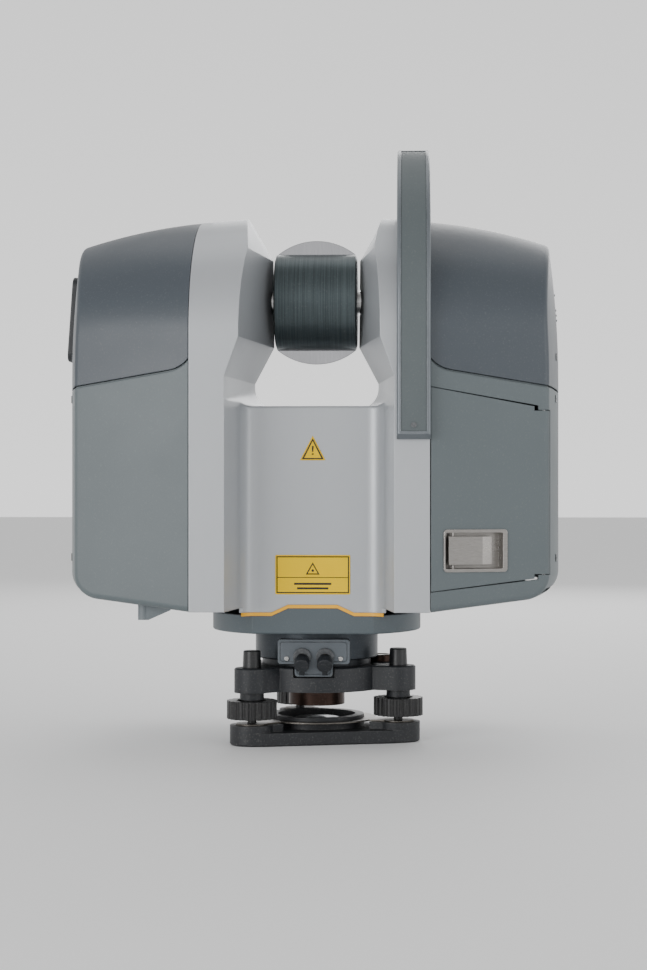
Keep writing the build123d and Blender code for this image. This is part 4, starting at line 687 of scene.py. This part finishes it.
# ---- Carrying handle ----------------------------------------------------------------------
# The handle is a cast bow over the right tower, lacquered like the fork. A soft grey strip is
# laid into its outer face, a dark grip cap covers its crest, and small screws hold both.
# The bow's bright edge colour is partly wear and partly a painted highlight along its edges
bow_lacquer = make_finish(
    "bow_lacquer", tone(112, 118, 123), tone(102, 108, 113), 0.36, metal=0.45, grain=1900.0,
    depth=0.00002, edge_wear_highlight_colour=tone(214, 216, 218), edge_wear_highlight_amount=0.4, cloud=8.0, coat=0.1, width=0.0009,
)
dress(bow_lacquer, "handle_bow")
inlay_soft = make_finish(
    "inlay_soft", tone(88, 96, 98), tone(80, 88, 90), 0.55, grain=2600.0, depth=0.00004,
    edge_wear_highlight_colour=tone(140, 144, 146), edge_wear_highlight_amount=0.25, cloud=10.0,
)
dress(inlay_soft, "handle_inlay")
grip_soft = make_finish(
    "grip_soft", tone(66, 72, 77), tone(56, 61, 66), 0.6, grain=1500.0, depth=0.00008,
    edge_wear_highlight_colour=tone(96, 100, 102), edge_wear_highlight_amount=0.3, cloud=18.0,
)
dress(grip_soft, "handle_grip")
dress(screw_finish, "handle_screws")

# ---- Plates on the panel and at the rear --------------------------------------------------
# Two yellow anodised plates are stuck to the centre panel, printed only with a plain border
# and bars. A blank type plate at the rear is held by four small rivets.
plate_yellow = make_finish(
    "plate_yellow", (1.0, 0.66, 0.0, 1), (0.94, 0.60, 0.0, 1), 0.5, grain=3000.0, depth=0.00001,
    edge_wear_highlight_colour=(1.0, 0.62, 0.05, 1), edge_wear_highlight_amount=0.2, cloud=30.0, dust=0.01,
)
plate_yellow.node_tree.nodes["Principled BSDF"].inputs["Specular IOR Level"].default_value = 0.15
dress(plate_yellow, "label_plates")
print_black = make_finish(
    "print_black", tone(22, 21, 18), tone(32, 30, 26), 0.35, grain=3000.0, depth=0.00001, cloud=80.0,
)
plate_points = [v.co.copy() for v in nodes["label_plates"].data.vertices]
plate_front = min(p.y for p in plate_points)
print_thickness = 0.00008


def plate_limits(low_z, high_z):
    """Lowest and highest x and z of the plate between two heights."""
    near = [p for p in plate_points if low_z < p.z < high_z]
    wide, tall = [p.x for p in near], [p.z for p in near]
    return min(wide), max(wide), min(tall), max(tall)


def print_shape(shape, outline, hole=None):
    """One printed area: an outline, or a band between the outline and the hole inside it."""
    front = plate_front - print_thickness
    outer = [(shape.verts.new((x, front, z)), shape.verts.new((x, plate_front, z))) for x, z in outline]
    count = len(outline)
    if hole is None:
        shape.faces.new([pair[0] for pair in outer])
        shape.faces.new([pair[1] for pair in reversed(outer)])
    else:
        inner = [(shape.verts.new((x, front, z)), shape.verts.new((x, plate_front, z))) for x, z in hole]
        for i in range(count):
            j = (i + 1) % count
            shape.faces.new((outer[i][0], outer[j][0], inner[j][0], inner[i][0]))
            shape.faces.new((outer[i][1], inner[i][1], inner[j][1], outer[j][1]))
            shape.faces.new((inner[i][0], inner[j][0], inner[j][1], inner[i][1]))
    for i in range(count):
        j = (i + 1) % count
        shape.faces.new((outer[i][0], outer[i][1], outer[j][1], outer[j][0]))


def rectangle(x0, x1, z0, z1):
    """Corners of an upright rectangle."""
    return [(x0, z0), (x1, z0), (x1, z1), (x0, z1)]


def triangle(x, low, width, height):
    """Corners of a triangle that stands on its level side."""
    return [(x - width / 2, low), (x + width / 2, low), (x, low + height)]


marks = bmesh.new()
x0, x1, z0, z1 = plate_limits(0.09, 0.16)
rim, line = 0.0008, 0.0008
divider_share = 0.42
divider_width = 0.0005
dot_radius = 0.0009
bar_half_width = 0.0007
print_shape(marks, rectangle(x0 + rim, x1 - rim, z0 + rim, z1 - rim),
            rectangle(x0 + rim + line, x1 - rim - line, z0 + rim + line, z1 - rim - line))
bar_z = z0 + (z1 - z0) * divider_share
print_shape(marks, rectangle(x0 + rim, x1 - rim, bar_z, bar_z + divider_width))
plate_middle = (x0 + x1) / 2
icon_low = bar_z + 0.0022
print_shape(marks, triangle(plate_middle, icon_low, 0.0094, 0.0082),
            triangle(plate_middle, icon_low + 0.0008, 0.0066, 0.0058))
print_shape(marks, [(plate_middle + dot_radius * math.cos(a), icon_low + 0.0027 + dot_radius * math.sin(a))
                    for a in [math.tau * step / 12 for step in range(12)]])
for row, half in ((0.58, 0.0125), (0.26, 0.0105)):
    middle = z0 + rim + line + (bar_z - z0 - rim - line) * row
    print_shape(marks, rectangle(plate_middle - half, plate_middle + half,
                                 middle - bar_half_width, middle + bar_half_width))
x0, x1, z0, z1 = plate_limits(0.17, 0.24)
plate_middle = (x0 + x1) / 2
width, height = x1 - x0, z1 - z0
print_shape(marks, triangle(plate_middle, z0 + 0.0006, width - 0.0022, height - 0.0022),
            triangle(plate_middle, z0 + 0.0015, width - 0.0056, height - 0.0050))
stem_low = z0 + height * 0.34
print_shape(marks, [(plate_middle - 0.0004, stem_low), (plate_middle + 0.0004, stem_low),
                    (plate_middle + 0.0007, stem_low + 0.0040), (plate_middle - 0.0007, stem_low + 0.0040)])
print_shape(marks, rectangle(plate_middle - 0.00055, plate_middle + 0.00055,
                             stem_low - 0.0020, stem_low - 0.0009))
label_print = mesh_object("label_print", marks, [print_black])
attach(label_print, "head")

type_metal = make_finish(
    "type_metal", tone(150, 152, 154), tone(132, 134, 136), 0.34, metal=0.9,
    stretch=(40.0, 900.0, 1800.0), depth=0.00002, edge_wear_highlight_colour=tone(206, 206, 206), edge_wear_highlight_amount=0.4,
)
dress(type_metal, "type_plate")
type_low, type_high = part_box("type_plate")
inset = 0.004
rivet_starts = [(x, reach, z) for x in (type_low.x + inset, type_high.x - inset)
                for z in (type_low.z + inset, type_high.z - inset)]
rivets = place_pieces(
    "type_plate_screws", screw_tree, on_surface("type_plate", rivet_starts, (0, -1, 0)),
    {"Head Radius": 0.0015, "Head Height": 0.0008, "Recess Radius": 0.0007, "Recess Floor": 0.0004},
    bright_steel, "head",
)

# ---- Spinning drum ------------------------------------------------------------------------
# The drum is a black-anodised barrel with fine turned rings, on a polished steel shaft. Its
# balancing dome of polished aluminium shows above and below it, behind the barrel.
barrel_black = make_finish(
    "barrel_black", tone(88, 98, 100), tone(60, 69, 72), 0.34, metal=0.65,
    stretch=(1500.0, 10.0, 10.0), depth=0.00006, edge_wear_highlight_colour=tone(120, 124, 124), edge_wear_highlight_amount=0.35, cloud=16.0,
)
dress(barrel_black, "drum_barrel")
dome_polish = make_finish(
    "dome_polish", tone(168, 168, 171), tone(160, 161, 164), 0.16, metal=1.0,
    stretch=(700.0, 60.0, 60.0), depth=0.000008, edge_wear_highlight_colour=tone(236, 236, 236), edge_wear_highlight_amount=0.2, cloud=30.0,
)
dress(dome_polish, "drum_dome")
dress(bright_steel, "drum_shaft", "rotor_bearings")
mirror_silver = make_finish(
    "mirror_silver", tone(226, 224, 214), tone(218, 216, 206), 0.03, metal=1.0, grain=300.0,
    depth=0.000002, edge_wear_highlight_colour=tone(120, 120, 116), edge_wear_highlight_amount=0.5, dust=0.02,
)
dress(mirror_silver, "scan_mirror")

window_glass = bpy.data.materials.new("window_glass")
window_glass.use_nodes = True
tree = window_glass.node_tree
glass_shader = tree.nodes["Principled BSDF"]
glass_shader.inputs["Transmission Weight"].default_value = 0.9
glass_shader.inputs["IOR"].default_value = 1.5
marks_node = add_node(tree, "ShaderNodeGroup", node_tree=handling, in_Scale=60.0)
glass_tint = add_node(tree, "ShaderNodeMix", data_type="RGBA")
glass_tint.inputs["A"].default_value = tone(60, 26, 30)
glass_tint.inputs["B"].default_value = tone(78, 34, 38)
smear = add_node(tree, "ShaderNodeMapRange", in_To_Min=0.02, in_To_Max=0.09)
wire(tree, marks_node.outputs["Cloud"], glass_tint.inputs["Factor"])
wire(tree, glass_tint.outputs["Result"], glass_shader.inputs["Base Color"])
wire(tree, marks_node.outputs["Cloud"], smear.inputs["Value"])
wire(tree, smear.outputs["Result"], glass_shader.inputs["Roughness"])
dress(window_glass, "drum_window", "receiver_lens")

# ---- Rangefinder and electronics ----------------------------------------------------------
# The rangefinder is a black tube fixed in the left tower, looking along the drum's axis. The
# main circuit board stands behind it, under a green solder mask.
dress(flange_anodised, "rangefinder")
solder_mask = make_finish(
    "solder_mask", tone(30, 84, 58), tone(22, 66, 46), 0.32, grain=500.0, depth=0.0001, beads=0.8,
    edge_wear_highlight_colour=tone(170, 140, 70), edge_wear_highlight_amount=0.5, cloud=60.0,
)
dress(solder_mask, "circuit_board")
